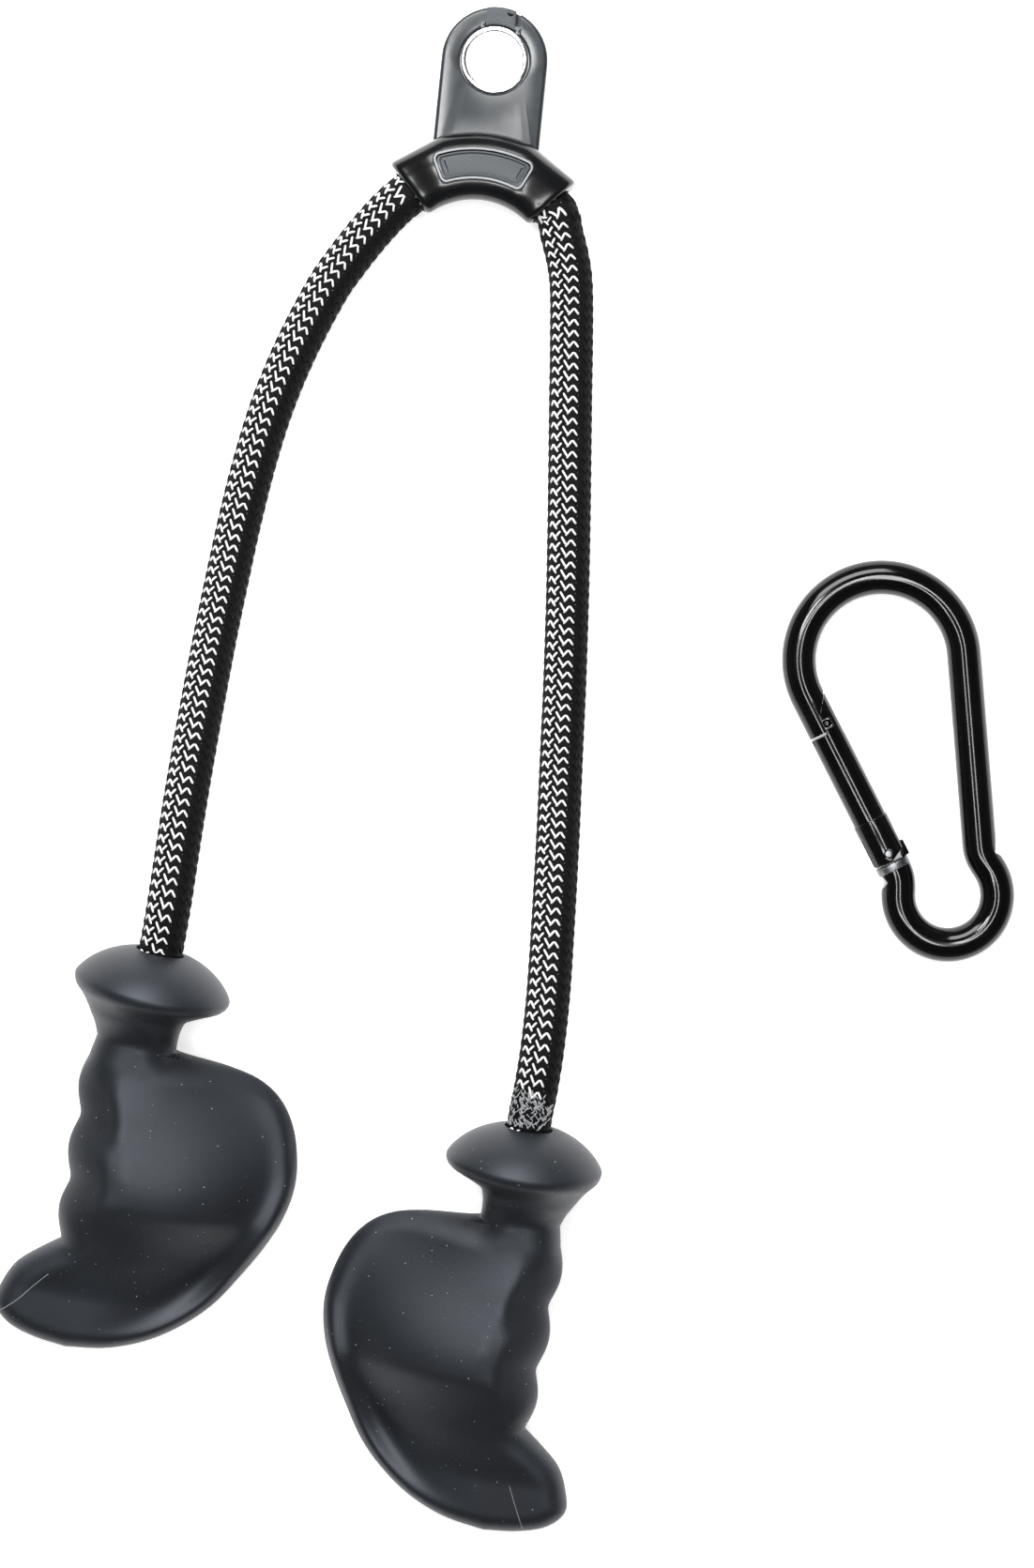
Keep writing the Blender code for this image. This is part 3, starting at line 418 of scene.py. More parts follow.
def braided(line, frayed=0):
    # the braid round a line: rows of stitches on a core, the last stretch frayed if asked
    length = sum((b - a).length for a, b in zip(line, line[1:]))
    around = pi * rope["diameter"]
    pairs, lean = rope["pairsAround"], rope["pairLean"]
    pairWidth = around / pairs
    whites = rope["whitePairs"] * pairWidth
    rows = ceil((length + pairs * lean) / rope["rowStep"]) + 3

    knee, (firstRun, secondRun) = rope["knee"] * pairWidth, rope["blackRun"]
    black = bmesh.new()
    stitch(black, (0, firstRun, 0), (knee, 0, 0))
    stitch(black, (knee, 0, 0), (pairWidth, secondRun, 0))
    arrayed(black, pairs - rope["whitePairs"], (pairWidth, lean, 0))
    bmesh.ops.translate(black, verts=black.verts, vec=(whites, 0, 0))
    bm = bmesh.new()
    for x0, y0, x1, y1 in rope["whites"]:
        stitch(bm, (x0 * mm, y0 * mm, 0), (x1 * mm, y1 * mm, 0))
    mergeInto(bm, black)
    bmesh.ops.translate(bm, verts=bm.verts, vec=(0, -pairs * lean, 0))
    arrayed(bm, rows, (0, rope["rowStep"], 0))

    # stitches past the ends or in the frayed stretch go, and the black ones are flattened
    bm.verts.ensure_lookup_table()
    sides, rings = rope["stitchMesh"]
    perStitch = sides * (rings - 1) + 2
    dead = []
    for k in range(0, len(bm.verts), perStitch):
        group = [bm.verts[k + j] for j in range(perStitch)]
        x, y = (sum(vert.co[axis] for vert in group) / perStitch for axis in (0, 1))
        if not 0 < y < length or (x < whites and y > length - frayed):
            dead += group
            continue
        for vert in group:
            vert.co.z *= rope["blackRise"] if x > whites else 1
    bmesh.ops.delete(bm, geom=dead, context="VERTS")
    for face in bm.faces:
        face.material_index = 1 if face.calc_center_median().x < whites else 0
    if frayed:
        chance, fray = random.Random(5), bmesh.new()
        for k in range(rope["frayStrands"]):
            spot = Vector((chance.uniform(-0.08, 1.4) * whites, length - chance.uniform(0, frayed),
                           0.25 * mm))
            turn = radians(chance.choice((-1, 1)) * chance.uniform(25, 60))
            run = chance.uniform(1.2, 2.4) * mm
            stitch(fray, spot, spot + Vector((run * sin(turn), -run * cos(turn), 0)), rope["frayWidth"])
        for face in fray.faces:
            face.material_index = 2
        mergeInto(bm, fray)

    core = bmesh.new()
    bmesh.ops.create_grid(core, x_segments=24, y_segments=round(length / (4 * mm)), size=0.5)
    bmesh.ops.translate(core, verts=core.verts, vec=(0.5, 0.5, 0))
    bmesh.ops.scale(core, verts=core.verts, vec=(around, length, 1))
    layUv(core, core.faces, 0, 1)
    mergeInto(bm, core)
    wrapOnRope(bm, line)
    return closed(bm, 0.02 * mm)


def buildRope(name, braid):
    run, body, line = ropes[name], name + "_leg", ropeLine(name)
    piece = addPiece("rope_braid_" + name, braided(line, rope["frayed"] if name == "right" else 0), braid, 80)
    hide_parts("rope_" + name)
    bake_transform(piece)

    place, (top, low) = handleMatrix(handles[name]), rope["tail"]
    line = [place @ Vector((0, top + (low - top) * k / 30, 0)) for k in range(31)]
    tail = addPiece("rope_tail_braid_" + name, braided(line), braid, 80)
    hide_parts("rope_tail_" + name)
    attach(tail, body)
    print("rope", name, len(piece.data.polygons) + len(tail.data.polygons), "faces")


braid = braidMaterials()
for name in ropes:
    buildRope(name, braid)


# Grips: the same form as the solids, with finer rows, the crest of the column and the hollow's edge.
# Down is from the disc's rim to the foot, across from the rope's axis to the wing.
grip = {
    "disc": 27.5 * mm, "dome": 13.1 * mm, "domeFall": 1.25, "domeFlat": 2.5, "neck": 21 * mm,
    "palm": 134 * mm, "wing": 64 * mm, "foot": 31 * mm,
    "fingers": (27 * mm, 22.8 * mm, 3), "lobe": 3.1 * mm, "valley": 0.2,  # start, pitch and count
    "fingerTop": 16.4 * mm, "fingerBottom": 12.6 * mm,
    "column": 13 * mm, "wingLevel": -3.5 * mm, "rise": (2.5 * mm, 6.5 * mm),
    "spread": (48 * mm, 46 * mm), "broaden": (-8 * mm, 18 * mm),  # how wide the column falls to the wing
    "plateau": (60 * mm, 32 * mm, 60 * mm),  # where down, how long and how wide it falls evenly
    "hump": (76 * mm, 12 * mm, 28 * mm, 42 * mm, 11.0 * mm),  # down, across, length, width, height
    "humpFall": (14 * mm, 1.4), "bowl": (100 * mm, 3 * mm, 19 * mm), "rim": (4.6 * mm, 3.4 * mm, 4.4 * mm),
    "crest": (1.3 * mm, 2.6 * mm, 12 * mm, 0.8 * mm),  # height, steep side, gentle side, radius
    "crestLine": ((40 * mm, -4 * mm), (74 * mm, 7 * mm)), "crestEnds": (12 * mm, 6 * mm, 8 * mm),
    "facet": (14 * mm, 0.75, 0.85), "facetRun": (28 * mm, 40 * mm, 78 * mm, 92 * mm),
    "back": (6.5 * mm, 8 * mm, 13 * mm), "footHalf": (6.5 * mm, 10.5 * mm), "footRun": 19 * mm,
    "rounds": (12 * mm, 4.5 * mm, 7.5 * mm), "thin": (17.7 * mm, 34.1 * mm),
    "ropeHole": 8.3 * mm, "bore": 9.8 * mm, "pocket": 10.5 * mm,
    "boreSteps": (-6.3 * mm, 63.7 * mm, 84.9 * mm), "window": (7.2 * mm, 66.3 * mm, -6 * mm),
    "capGap": 0.3 * mm, "capLevel": -10.8 * mm, "below": -40 * mm,
    "domeRows": 12, "neckRows": 18, "palmRows": 96, "around": 88,
    # rubber: two tones for the body and two for thin flash, then the sizes of clouding, skin and dust
    "tones": ("#0f1114", "#171a1e"), "flashTones": ("#6d7176", "#8a8e93"), "dustTone": "#b4b7ba",
    "cloud": 26.316 * mm, "skin": 0.5263 * mm, "dust": 2.5 * mm,
}
# silhouette as shares: neck (down, fingers' side, wing's side), then (down, across) of wing and foot
neckShares = ((0.00, 1.000, 1.000), (0.08, 0.990, 0.990), (0.17, 0.930, 0.960), (0.31, 0.715, 0.860),
              (0.46, 0.525, 0.775), (0.62, 0.476, 0.700), (0.80, 0.460, 0.620), (1.00, 0.465, 0.560))
wingShares = ((0.160, 0.220), (0.165, 0.340), (0.171, 0.500), (0.190, 0.680), (0.231, 0.820), (0.299, 0.922),
              (0.388, 0.984), (0.466, 1.000), (0.552, 0.969), (0.642, 0.898), (0.731, 0.805), (0.813, 0.703),
              (0.881, 0.570), (0.940, 0.398), (0.981, 0.188), (1.000, -0.047))
footShares = ((0.757, -0.645), (0.806, -0.855), (0.869, -0.968), (0.922, -0.993), (0.966, -0.806),
              (0.990, -0.484), (1.000, -0.097))


def gripOutline():
    # silhouette below the disc's rim as (down, across) lines: fingers' side, wing's side
    neck = smoothLine([(d * grip["neck"], -f * grip["disc"], w * grip["disc"]) for d, w, f in neckShares], 6)
    fingers = [Vector((p.x, p.y, 0)) for p in neck]
    wing = [Vector((p.x, p.z, 0)) for p in neck]
    start, pitch, count = grip["fingers"]
    steps = count * 16
    for k in range(steps + 1):
        share = k / steps
        valley = grip["fingerTop"] + (grip["fingerBottom"] - grip["fingerTop"]) * share
        lobe = grip["lobe"] * (hypot(sin(pi * count * share), grip["valley"]) - grip["valley"])
        fingers.append(Vector((start + pitch * count * share, -valley - lobe, 0)))
    for line, shares, reach in ((fingers, footShares, grip["foot"]), (wing, wingShares, grip["wing"])):
        line += smoothLine([line[-1]] + [(d * grip["palm"], a * reach, 0) for d, a in shares], 8)[1:]
    return np.array(fingers)[:, :2], np.array(wing)[:, :2]


def acrossAt(line, down):
    return float(np.interp(down, np.maximum.accumulate(line[:, 0]), line[:, 1]))


def edgeDistance(spots, lines):
    # how far each (down, across) spot lies from the silhouette
    best = np.full(len(spots), 1.0)
    for line in lines:
        for a, b in zip(line, line[1:]):
            run = b - a
            size = run @ run
            if size < 1e-16:
                continue
            share = np.clip((spots - a) @ run / size, 0, 1)
            best = np.minimum(best, np.hypot(*(spots - a - share[:, None] * run).T))
    return best


def palmLevels(down, across, away):
    # front and back level of the palm at a spot that lies so far inside the silhouette
    humpDown, humpAcross, humpLength, humpWidth, humpHeight = grip["hump"]
    reach, power = (humpLength, 2) if down < humpDown else grip["humpFall"]
    swell = exp(-(abs(down - humpDown) / reach) ** power)
    bump = swell * exp(-((across - humpAcross) / humpWidth) ** 2)
    bowlDown, bowlDepth, bowlLength = grip["bowl"]
    bowl = exp(-((down - bowlDown) / bowlLength) ** 2 - ((across - humpWidth) / humpWidth) ** 2)
    lipHeight, lipIn, lipWidth = grip["rim"]
    lip = lipHeight * exp(-((away - lipIn) / lipWidth) ** 2) * ease(down, grip["neck"], humpDown)
    wingFront = grip["wingLevel"] + humpHeight * bump - bowlDepth * bowl + lip

    foot = ease(down, humpDown + grip["footRun"], grip["palm"] - grip["footRun"])
    dip, rise = grip["rise"]
    footFront, footBack = grip["footHalf"]
    columnFront = grip["column"] - dip + rise * swell
    columnFront += (footFront - columnFront) * foot
    columnBack = grip["column"] + (footBack - grip["column"]) * foot
    backEdge, backDeep, backRun = grip["back"]
    wingBack = backEdge + backDeep * (1 - exp(-away / backRun))

    # from the column to the wing, evenly near the palm's middle and in a soft step elsewhere
    narrow, broad = grip["spread"]
    high, low = (humpDown + run for run in grip["broaden"])
    side = ease(across, 0, narrow + (broad - narrow) * ease(down, high, low))
    evenDown, evenLength, evenWidth = grip["plateau"]
    even = min(1, max(0, across / evenWidth)) ** 2
    side += (even - side) * exp(-((down - evenDown) / evenLength) ** 2)

    (crestTop, crestLeft), (crestLow, crestRight) = grip["crestLine"]
    ridge = crestLeft + (crestRight - crestLeft) * (down - crestTop) / (crestLow - crestTop)
    height, steep, gentle, radius = grip["crest"]
    fall = hypot(across - ridge, radius) / (steep if across < ridge else gentle)
    before, after, end = grip["crestEnds"]
    height *= (ease(down, crestTop - before, crestTop + after)
               * (1 - ease(down, crestLow - end, crestLow + end)))
    columnFront += height * exp(-fall)
    wingFront += height * exp(-fall)
    return columnFront + (wingFront - columnFront) * side, -(columnBack + (wingBack - columnBack) * side)


def edgeRounding(down, across):
    start, pitch, count = grip["fingers"]
    fingerRound, wingRound, footRound = grip["rounds"]
    thin = ease(across, 0, grip["spread"][0]) * ease(down, *grip["thin"])
    foot = ease(down, start + pitch * count, grip["palm"] - grip["footRun"])
    fingerRound += (footRound - fingerRound) * foot
    return fingerRound + (wingRound - fingerRound) * thin


def domeLevel(reach):
    return -grip["dome"] * (1 - (reach / grip["disc"]) ** grip["domeFlat"]) ** (1 / grip["domeFall"])


def gripForm(side, bored=True):
    # rows of the whole handle: up the bore, over the dome, down the neck and the palm to the tip
    lines = gripOutline()
    rows, first = [], mm
    if bored:
        low, middle, deep = grip["boreSteps"]
        hole, bore, pocket = grip["ropeHole"], grip["bore"], grip["pocket"]
        first = hole + 0.3 * mm
        for down, radius in ((deep, mm), (deep, pocket - 0.5 * mm), (deep, pocket), (deep - mm, pocket),
                             (middle + mm, pocket), (middle, pocket), (middle, bore), (middle - mm, bore),
                             (low + mm, bore), (low, bore), (low, hole), (domeLevel(hole) + mm, hole),
                             (domeLevel(hole) + 0.3 * mm, hole), (domeLevel(hole), first)):
            rows.append((down, -radius, radius))
    boreRows = len(rows)
    for k in range(1 if bored else 0, grip["domeRows"]):
        reach = first + (grip["disc"] - first) * sin(pi / 2 * k / grip["domeRows"])
        rows.append((domeLevel(reach), -reach, reach))
    downs = [grip["neck"] * k / grip["neckRows"] for k in range(grip["neckRows"])]
    downs += [grip["neck"] + (grip["palm"] - grip["neck"]) * (1 - cos(pi * k / grip["palmRows"])) / 2
              for k in range(grip["palmRows"])]
    rows += [(down, acrossAt(lines[0], down), acrossAt(lines[1], down)) for down in downs]

    # a flat grid, one line for each row, rolled up round the handle
    bm = bmesh.new()
    bmesh.ops.create_grid(bm, x_segments=grip["around"], y_segments=len(rows) - 1, size=0.5)
    spots = []
    for vert in bm.verts:
        turn = (vert.co.x + 0.5) * fullTurn
        row = round((vert.co.y + 0.5) * (len(rows) - 1))
        down, lowSide, highSide = rows[row]
        depth = (highSide - lowSide) / 2
        spots.append((down, (lowSide + highSide) / 2 + depth * cos(turn), depth, sin(turn), row))
    aways = edgeDistance(np.array(spots)[:, :2], lines)
    width, part, power = grip["facet"]
    for vert, away, (down, across, depth, height, row) in zip(bm.verts, aways, spots):
        shaped = ease(down, grip["neck"] / 2, grip["neck"]) if row >= boreRows else 0
        top, bottom, edge = depth, -depth, abs(height)
        if shaped > 0:
            front, back = palmLevels(down, across, away)
            top += (front - top) * shaped
            bottom += (back - bottom) * shaped
            inner = max(0, 1 - away / edgeRounding(down, across))
            edge += (sqrt(1 - inner ** 2) - edge) * shaped
            if height > 0 and across < grip["crestLine"][1][1]:
                share = part * (ease(down, *grip["facetRun"][:2]) * (1 - ease(down, *grip["facetRun"][2:])))
                edge += (min(1, away / width) ** power - edge) * share
        level = (top + bottom) / 2 + copysign((top - bottom) / 2 * edge, height)
        vert.co = (side * across, -down, level)
    return closed(bm, 0.01 * mm)


def rubberMaterial(name, tones):
    # moulded rubber: matt, with faint blue-grey clouding, a fine skin and a little pale dust;
    # the real skin is about 0.1 mm, drawn at 0.5 mm so that it shows
    material, tree, shader = newMaterial(name, Roughness=0.50, Specular_IOR_Level=0.60,
                                         Specular_Tint=linear("#dbe2ee"))
    place = addNode(tree, "TexCoord").outputs["Object"]
    cloud = addNode(tree, "TexNoise", Vector=place, Scale=1 / grip["cloud"], Detail=3.0).outputs["Fac"]
    stops = ((0.35, tones[0]), (0.7, tones[1]))
    colour = addNode(tree, "ValToRGB", {"stops": stops}, in0=cloud).outputs["Color"]
    grain = addNode(tree, "TexNoise", Vector=place, Scale=1 / grip["skin"], Detail=2.0).outputs["Fac"]
    dust = addNode(tree, "TexVoronoi", Vector=place, Scale=1 / grip["dust"], Randomness=1.0)
    near = addNode(tree, "MapRange", Value=dust.outputs["Distance"], From_Min=0.050, From_Max=0.085,
                   To_Min=1.0, To_Max=0.0).outputs["Result"]
    pick = addNode(tree, "SeparateColor", in0=dust.outputs["Color"]).outputs[0]
    rare = addNode(tree, "MapRange", Value=pick, From_Min=0.40, From_Max=1.0).outputs["Result"]
    fleck = addNode(tree, "Math", {"operation": "MULTIPLY"}, in0=near, in1=rare).outputs[0]
    mixed = addNode(tree, "Mix", {"data_type": "RGBA"}, Factor=fleck, in6=colour,
                    in7=linear(grip["dustTone"]))
    join(tree, mixed.outputs[2], shader, "Base Color")
    bump = addNode(tree, "Bump", Strength=0.25, Distance=0.15 * mm, Height=grain).outputs["Normal"]
    join(tree, bump, shader, "Normal")
    return material


def roundWire(points, radius, sides):
    # a round bar along points, from a bevelled curve
    curve = bpy.data.curves.new("wire", "CURVE")
    curve.dimensions = "3D"
    curve.bevel_depth = radius
    curve.bevel_resolution = sides
    curve.use_fill_caps = True
    spline = curve.splines.new("POLY")
    spline.points.add(len(points) - 1)
    for spot, point in zip(spline.points, points):
        spot.co = (*point, 1)
    bm = settled(bmesh.new(), addObject("wire", curve))
    bmesh.ops.remove_doubles(bm, verts=bm.verts, dist=0.005 * mm)
    bmesh.ops.recalc_face_normals(bm, faces=bm.faces)
    return bm


# Mould flash: fine raised lines on each foot and a nick on one disc, as world X and Y
flash = {
    "thick": 0.16 * mm, "lift": 0.02 * mm,
    "left": (((-0.1604, -0.1770), (-0.1660, -0.1815), (-0.1715, -0.1862), (-0.1778, -0.1903)),),
    "right": (((0.0015, -0.2519), (0.0035, -0.2590), (0.0058, -0.2665), (0.0079, -0.2744)),
              ((0.0238, -0.1466), (0.0270, -0.1463), (0.0302, -0.1452))),
}


def layOn(bm, spots, lift):
    # drops points from above on to a mesh
    tree = BVHTree.FromBMesh(bm)
    found = [tree.ray_cast(Vector((x, y, 0.2)), Vector((0, 0, -1)))[0] for x, y in spots]
    return [point + Vector((0, 0, lift)) for point in found if point]


def buildGrip(name, rubber, pale):
    handle = handles[name]
    place = handleMatrix(handle)
    half, windowTop, windowLevel = grip["window"]
    deep, below, gap = grip["boreSteps"][2], grip["below"], grip["capGap"]
    bm = cut(gripForm(handle["side"]), block((-half, -deep, below), (half, -windowTop, windowLevel)))
    bm.transform(place)
    seam = bmesh.new()
    for spots in flash[name]:
        line = smoothLine([(*spot, 0) for spot in spots], 8)
        mergeInto(seam, roundWire(layOn(bm, [(p.x, p.y) for p in line], flash["lift"]), flash["thick"], 2))
    piece = addPiece("grip_form_" + name, bm, [rubber], 50)
    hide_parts("grip_" + name)
    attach(piece, name + "_handle")

    seam = addPiece("mould_flash_" + name, seam, [pale], 60)
    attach(seam, name + "_handle")

    plug = block((gap - half, gap - deep, below), (half - gap, -windowTop - gap, grip["capLevel"]))
    bm = cut(gripForm(handle["side"], False), plug, "INTERSECT")
    cap = addPiece("rear_cap_form_" + name, bm, [rubber], 50, place)
    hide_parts("rear_cap_" + name)
    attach(cap, name + "_handle")
    print("grip", name, len(piece.data.polygons), "faces")


rubber = rubberMaterial("moulded rubber, matt", grip["tones"])
pale = rubberMaterial("moulded rubber, thin flash", grip["flashTones"])
for name in handles:
    buildGrip(name, rubber, pale)


# Hanger: its frame stands on the centre of the saddle's arc, +Y towards the eye; angles in degrees
hanger = {
    "place": (-0.0114, 0.1753, 0.012), "turn": -5.8, "radius": 36.5 * mm, "half": 43.0,
    # cover: section, the drop to the ears, the bore's lip, and the draft of its inner side
    "inner": 11.9 * mm, "outer": 13.5 * mm, "ear": 12.5 * mm, "depth": 12 * mm, "square": 2.6, "crown": 18.75,
    "slope": (23, 2.4 * mm), "earRound": 1.8 * mm, "lip": 8.4 * mm,
    "draft": 0.25, "draftRun": (-9 * mm, 4 * mm),
    # badge: inner and outer radius, half angle; frame and panel: corner, height, insets as (width, depth)
    "badge": (31.4 * mm, 43.2 * mm, 26.0), "badgeTop": 12.8 * mm,
    "frame": (3 * mm, 2.2 * mm, 0.45 * mm), "frameSteps": ((0.25 * mm, -0.35 * mm), (0.1 * mm, -0.7 * mm)),
    "panel": (1.75 * mm, 2.6, 2 * mm, 0.95 * mm, 0.75 * mm),
    "panelSteps": ((0.45 * mm, 0), (0.35 * mm, -0.6 * mm), (1.6 * mm, 0.3 * mm)),
    # plate: half width, thickness, rounding; hole with its rounding, bush (bore, outside, half height)
    "plate": (18.8 * mm, 6 * mm, 1.4 * mm), "plateGap": 0.3 * mm, "foot": 46.4 * mm, "eye": 75.9 * mm,
    "hole": (12.3 * mm, 0.8 * mm), "bush": (10 * mm, 12 * mm, 3.4 * mm), "bushRound": 0.7 * mm,
    # wear block: left, right, low, high, lift; dimple (radius, in from the right, down); lugs from its ends
    "wear": (-4.4 * mm, 6.1 * mm, 12.6 * mm, 18.7 * mm, 0.15 * mm), "slot": 1.6 * mm,
    "dimple": (1.15 * mm, 2.1 * mm, 1.9 * mm), "lugs": ((-0.9 * mm, -2.0 * mm), (1.2 * mm, -3.2 * mm)),
    "lugSize": (0.9 * mm, 2.2 * mm, 0.75 * mm),
}
hangerPlace = (Matrix.Translation(hanger["place"]) @ Matrix.Rotation(radians(hanger["turn"]), 4, "Z"))
eyePlace = hangerPlace @ Matrix.Translation((0, hanger["eye"], 0))


def squarish(radius, power):
    # a section ring in the XZ plane that is squarer than a circle
    bm = bmesh.new()
    for vert in bmesh.ops.create_circle(bm, segments=64, radius=1)["verts"]:
        c, s = vert.co.x, vert.co.y
        vert.co = (copysign(abs(c) ** (2 / power) * radius, c), 0,
                   copysign(abs(s) ** (2 / power) * radius, s))
    return bm


def swept(bm, half, steps):
    # moves a section out to the saddle's arc and spins it from one mouth to the other
    bmesh.ops.translate(bm, verts=bm.verts, vec=(hanger["radius"], 0, 0))
    bmesh.ops.rotate(bm, verts=bm.verts, cent=(0, 0, 0), matrix=Matrix.Rotation(radians(90 - half), 3, "Z"))
    bmesh.ops.spin(bm, geom=bm.verts[:] + bm.edges[:], cent=(0, 0, 0), axis=(0, 0, 1),
                   angle=radians(2 * half), steps=steps, use_merge=False)
    return closed(bm)


def saddleCover():
    # squarish section, a straight drop from the crown to each ear, thinner towards the mouths
    unit, radius, earRound = 10 * mm, hanger["radius"], hanger["earRound"]
    outside = swept(squarish(unit, hanger["square"]), hanger["half"], 60)
    crown, half = radians(hanger["crown"]), radians(hanger["half"])
    crownReach, earReach = radius + hanger["outer"], radius + hanger["ear"]
    start = Vector((crownReach * sin(crown), crownReach * cos(crown)))
    run = Vector((earReach * sin(half), earReach * cos(half))) - start
    for vert in outside.verts:
        # rows crowd towards the mouths, where the ears are rounded
        share = atan2(vert.co.x, vert.co.y) / half
        signed = half * share * (1.5 - 0.5 * share * share)
        turn, reach = abs(signed), hypot(vert.co.x, vert.co.y) - radius
        inner = hanger["inner"]
        outer = hanger["outer"]
        if turn > crown:
            along = Vector((sin(turn), cos(turn)))
            outer = start.cross(run) / along.cross(run) - radius
        thinFrom, thinBy = hanger["slope"]
        level = vert.co.z / unit * (hanger["depth"] - thinBy * ease(degrees(turn), thinFrom, hanger["half"]))
        inner *= 1 - hanger["draft"] * ease(-level, *hanger["draftRun"])
        reach *= (outer if reach > 0 else inner) / unit
        left = max(0, earRound - (half - turn) * (radius + reach))
        shrink = 1 - (earRound - sqrt(earRound ** 2 - left ** 2)) / hanger["ear"]
        reach = radius + reach * shrink
        vert.co = (reach * sin(signed), reach * cos(signed), level * shrink)
    return outside


def sectorSheet(inner, outer, half, corner, level):
    # a flat ring segment with rounded corners
    bm = bmesh.new()
    bmesh.ops.create_grid(bm, x_segments=12, y_segments=1, size=0.5)
    for vert in bm.verts:
        turn = radians(vert.co.x * 2 * half)
        radius = inner + (outer - inner) * (vert.co.y + 0.5)
        vert.co = (radius * sin(turn), radius * cos(turn), level)
    corners = [v for v in bm.verts if len(v.link_edges) == 2]
    bmesh.ops.bevel(bm, geom=corners, offset=corner, segments=6, profile=0.5, affect="VERTICES", material=-1)
    return bm


def raised(bm, height):
    # gives a flat sheet its thickness; returns the top faces
    grown = bmesh.ops.extrude_face_region(bm, geom=bm.faces[:])["geom"]
    bmesh.ops.translate(bm, verts=[g for g in grown if isinstance(g, bmesh.types.BMVert)], vec=(0, 0, height))
    bmesh.ops.recalc_face_normals(bm, faces=bm.faces)
    return [g for g in grown if isinstance(g, bmesh.types.BMFace)]


def rimOf(faces):
    inside = set(faces)
    return [e for f in faces for e in f.edges if len([g for g in e.link_faces if g in inside]) == 1]


def insets(bm, faces, steps):
    for width, depth in steps:
        bmesh.ops.inset_region(bm, faces=faces, thickness=width, depth=depth)


def buildSaddle(gloss, panelFinish, rimHighlight):
    radius, lip, gap = hanger["radius"], hanger["lip"], hanger["plateGap"]
    half, thick = hanger["plate"][:2]
    bm = cut(saddleCover(), swept(squarish(lip, 2.0), hanger["half"] + 8, 64))
    cut(bm, block((-half - gap, radius, -thick / 2 - gap), (half + gap, 60 * mm, thick / 2 + gap)))

    inner, outer, turn = hanger["badge"]
    corner, height, rounding = hanger["frame"]
    frameRing = sectorSheet(inner, outer, turn, corner, hanger["badgeTop"] - height)
    soften(frameRing, rimOf(raised(frameRing, height)), rounding)
    top = [f for f in frameRing.faces if f.calc_center_median().z > hanger["badgeTop"] - 0.01 * mm]
    # the outer band of the frame's top takes a mid grey that paints the highlight of its rounded edge
    for face in bmesh.ops.inset_region(frameRing, faces=top, thickness=0.7 * mm, depth=0)["faces"]:
        face.material_index = 1
    insets(frameRing, top, hanger["frameSteps"])
    mergeInto(bm, frameRing)
    cover = addPiece("saddle_cover_moulding", bm, [gloss, rimHighlight], 42, hangerPlace)
    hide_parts("saddle_cover")
    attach(cover, "hanger")

    turns = [radians(hanger["half"] * (k / 20 - 1)) for k in range(41)]
    arc = [hangerPlace @ Vector((radius * sin(turn), radius * cos(turn), 0)) for turn in turns]
    bend = addPiece("rope_bend_braid", braided(arc), braid, 80)
    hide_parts("rope_in_saddle")
    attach(bend, "hanger")

    inset, turnIn, corner, depth, height = hanger["panel"]
    panel = sectorSheet(inner + inset, outer - inset, turn - turnIn, corner, hanger["badgeTop"] - depth)
    insets(panel, raised(panel, height), hanger["panelSteps"])
    piece = addPiece("badge_panel", panel, [panelFinish], 42, hangerPlace)
    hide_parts("badge_insert")
    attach(piece, "hanger")


def arcOf(bm, start, centre, turn, steps):
    # a row of vertices and edges from one vertex round a centre; gives its two ends
    first = bm.verts.new(start)
    last = bmesh.ops.spin(bm, geom=[first], cent=centre, axis=(0, 0, 1), angle=turn, steps=steps)["geom_last"]
    return first, [v for v in last if isinstance(v, bmesh.types.BMVert)][0]


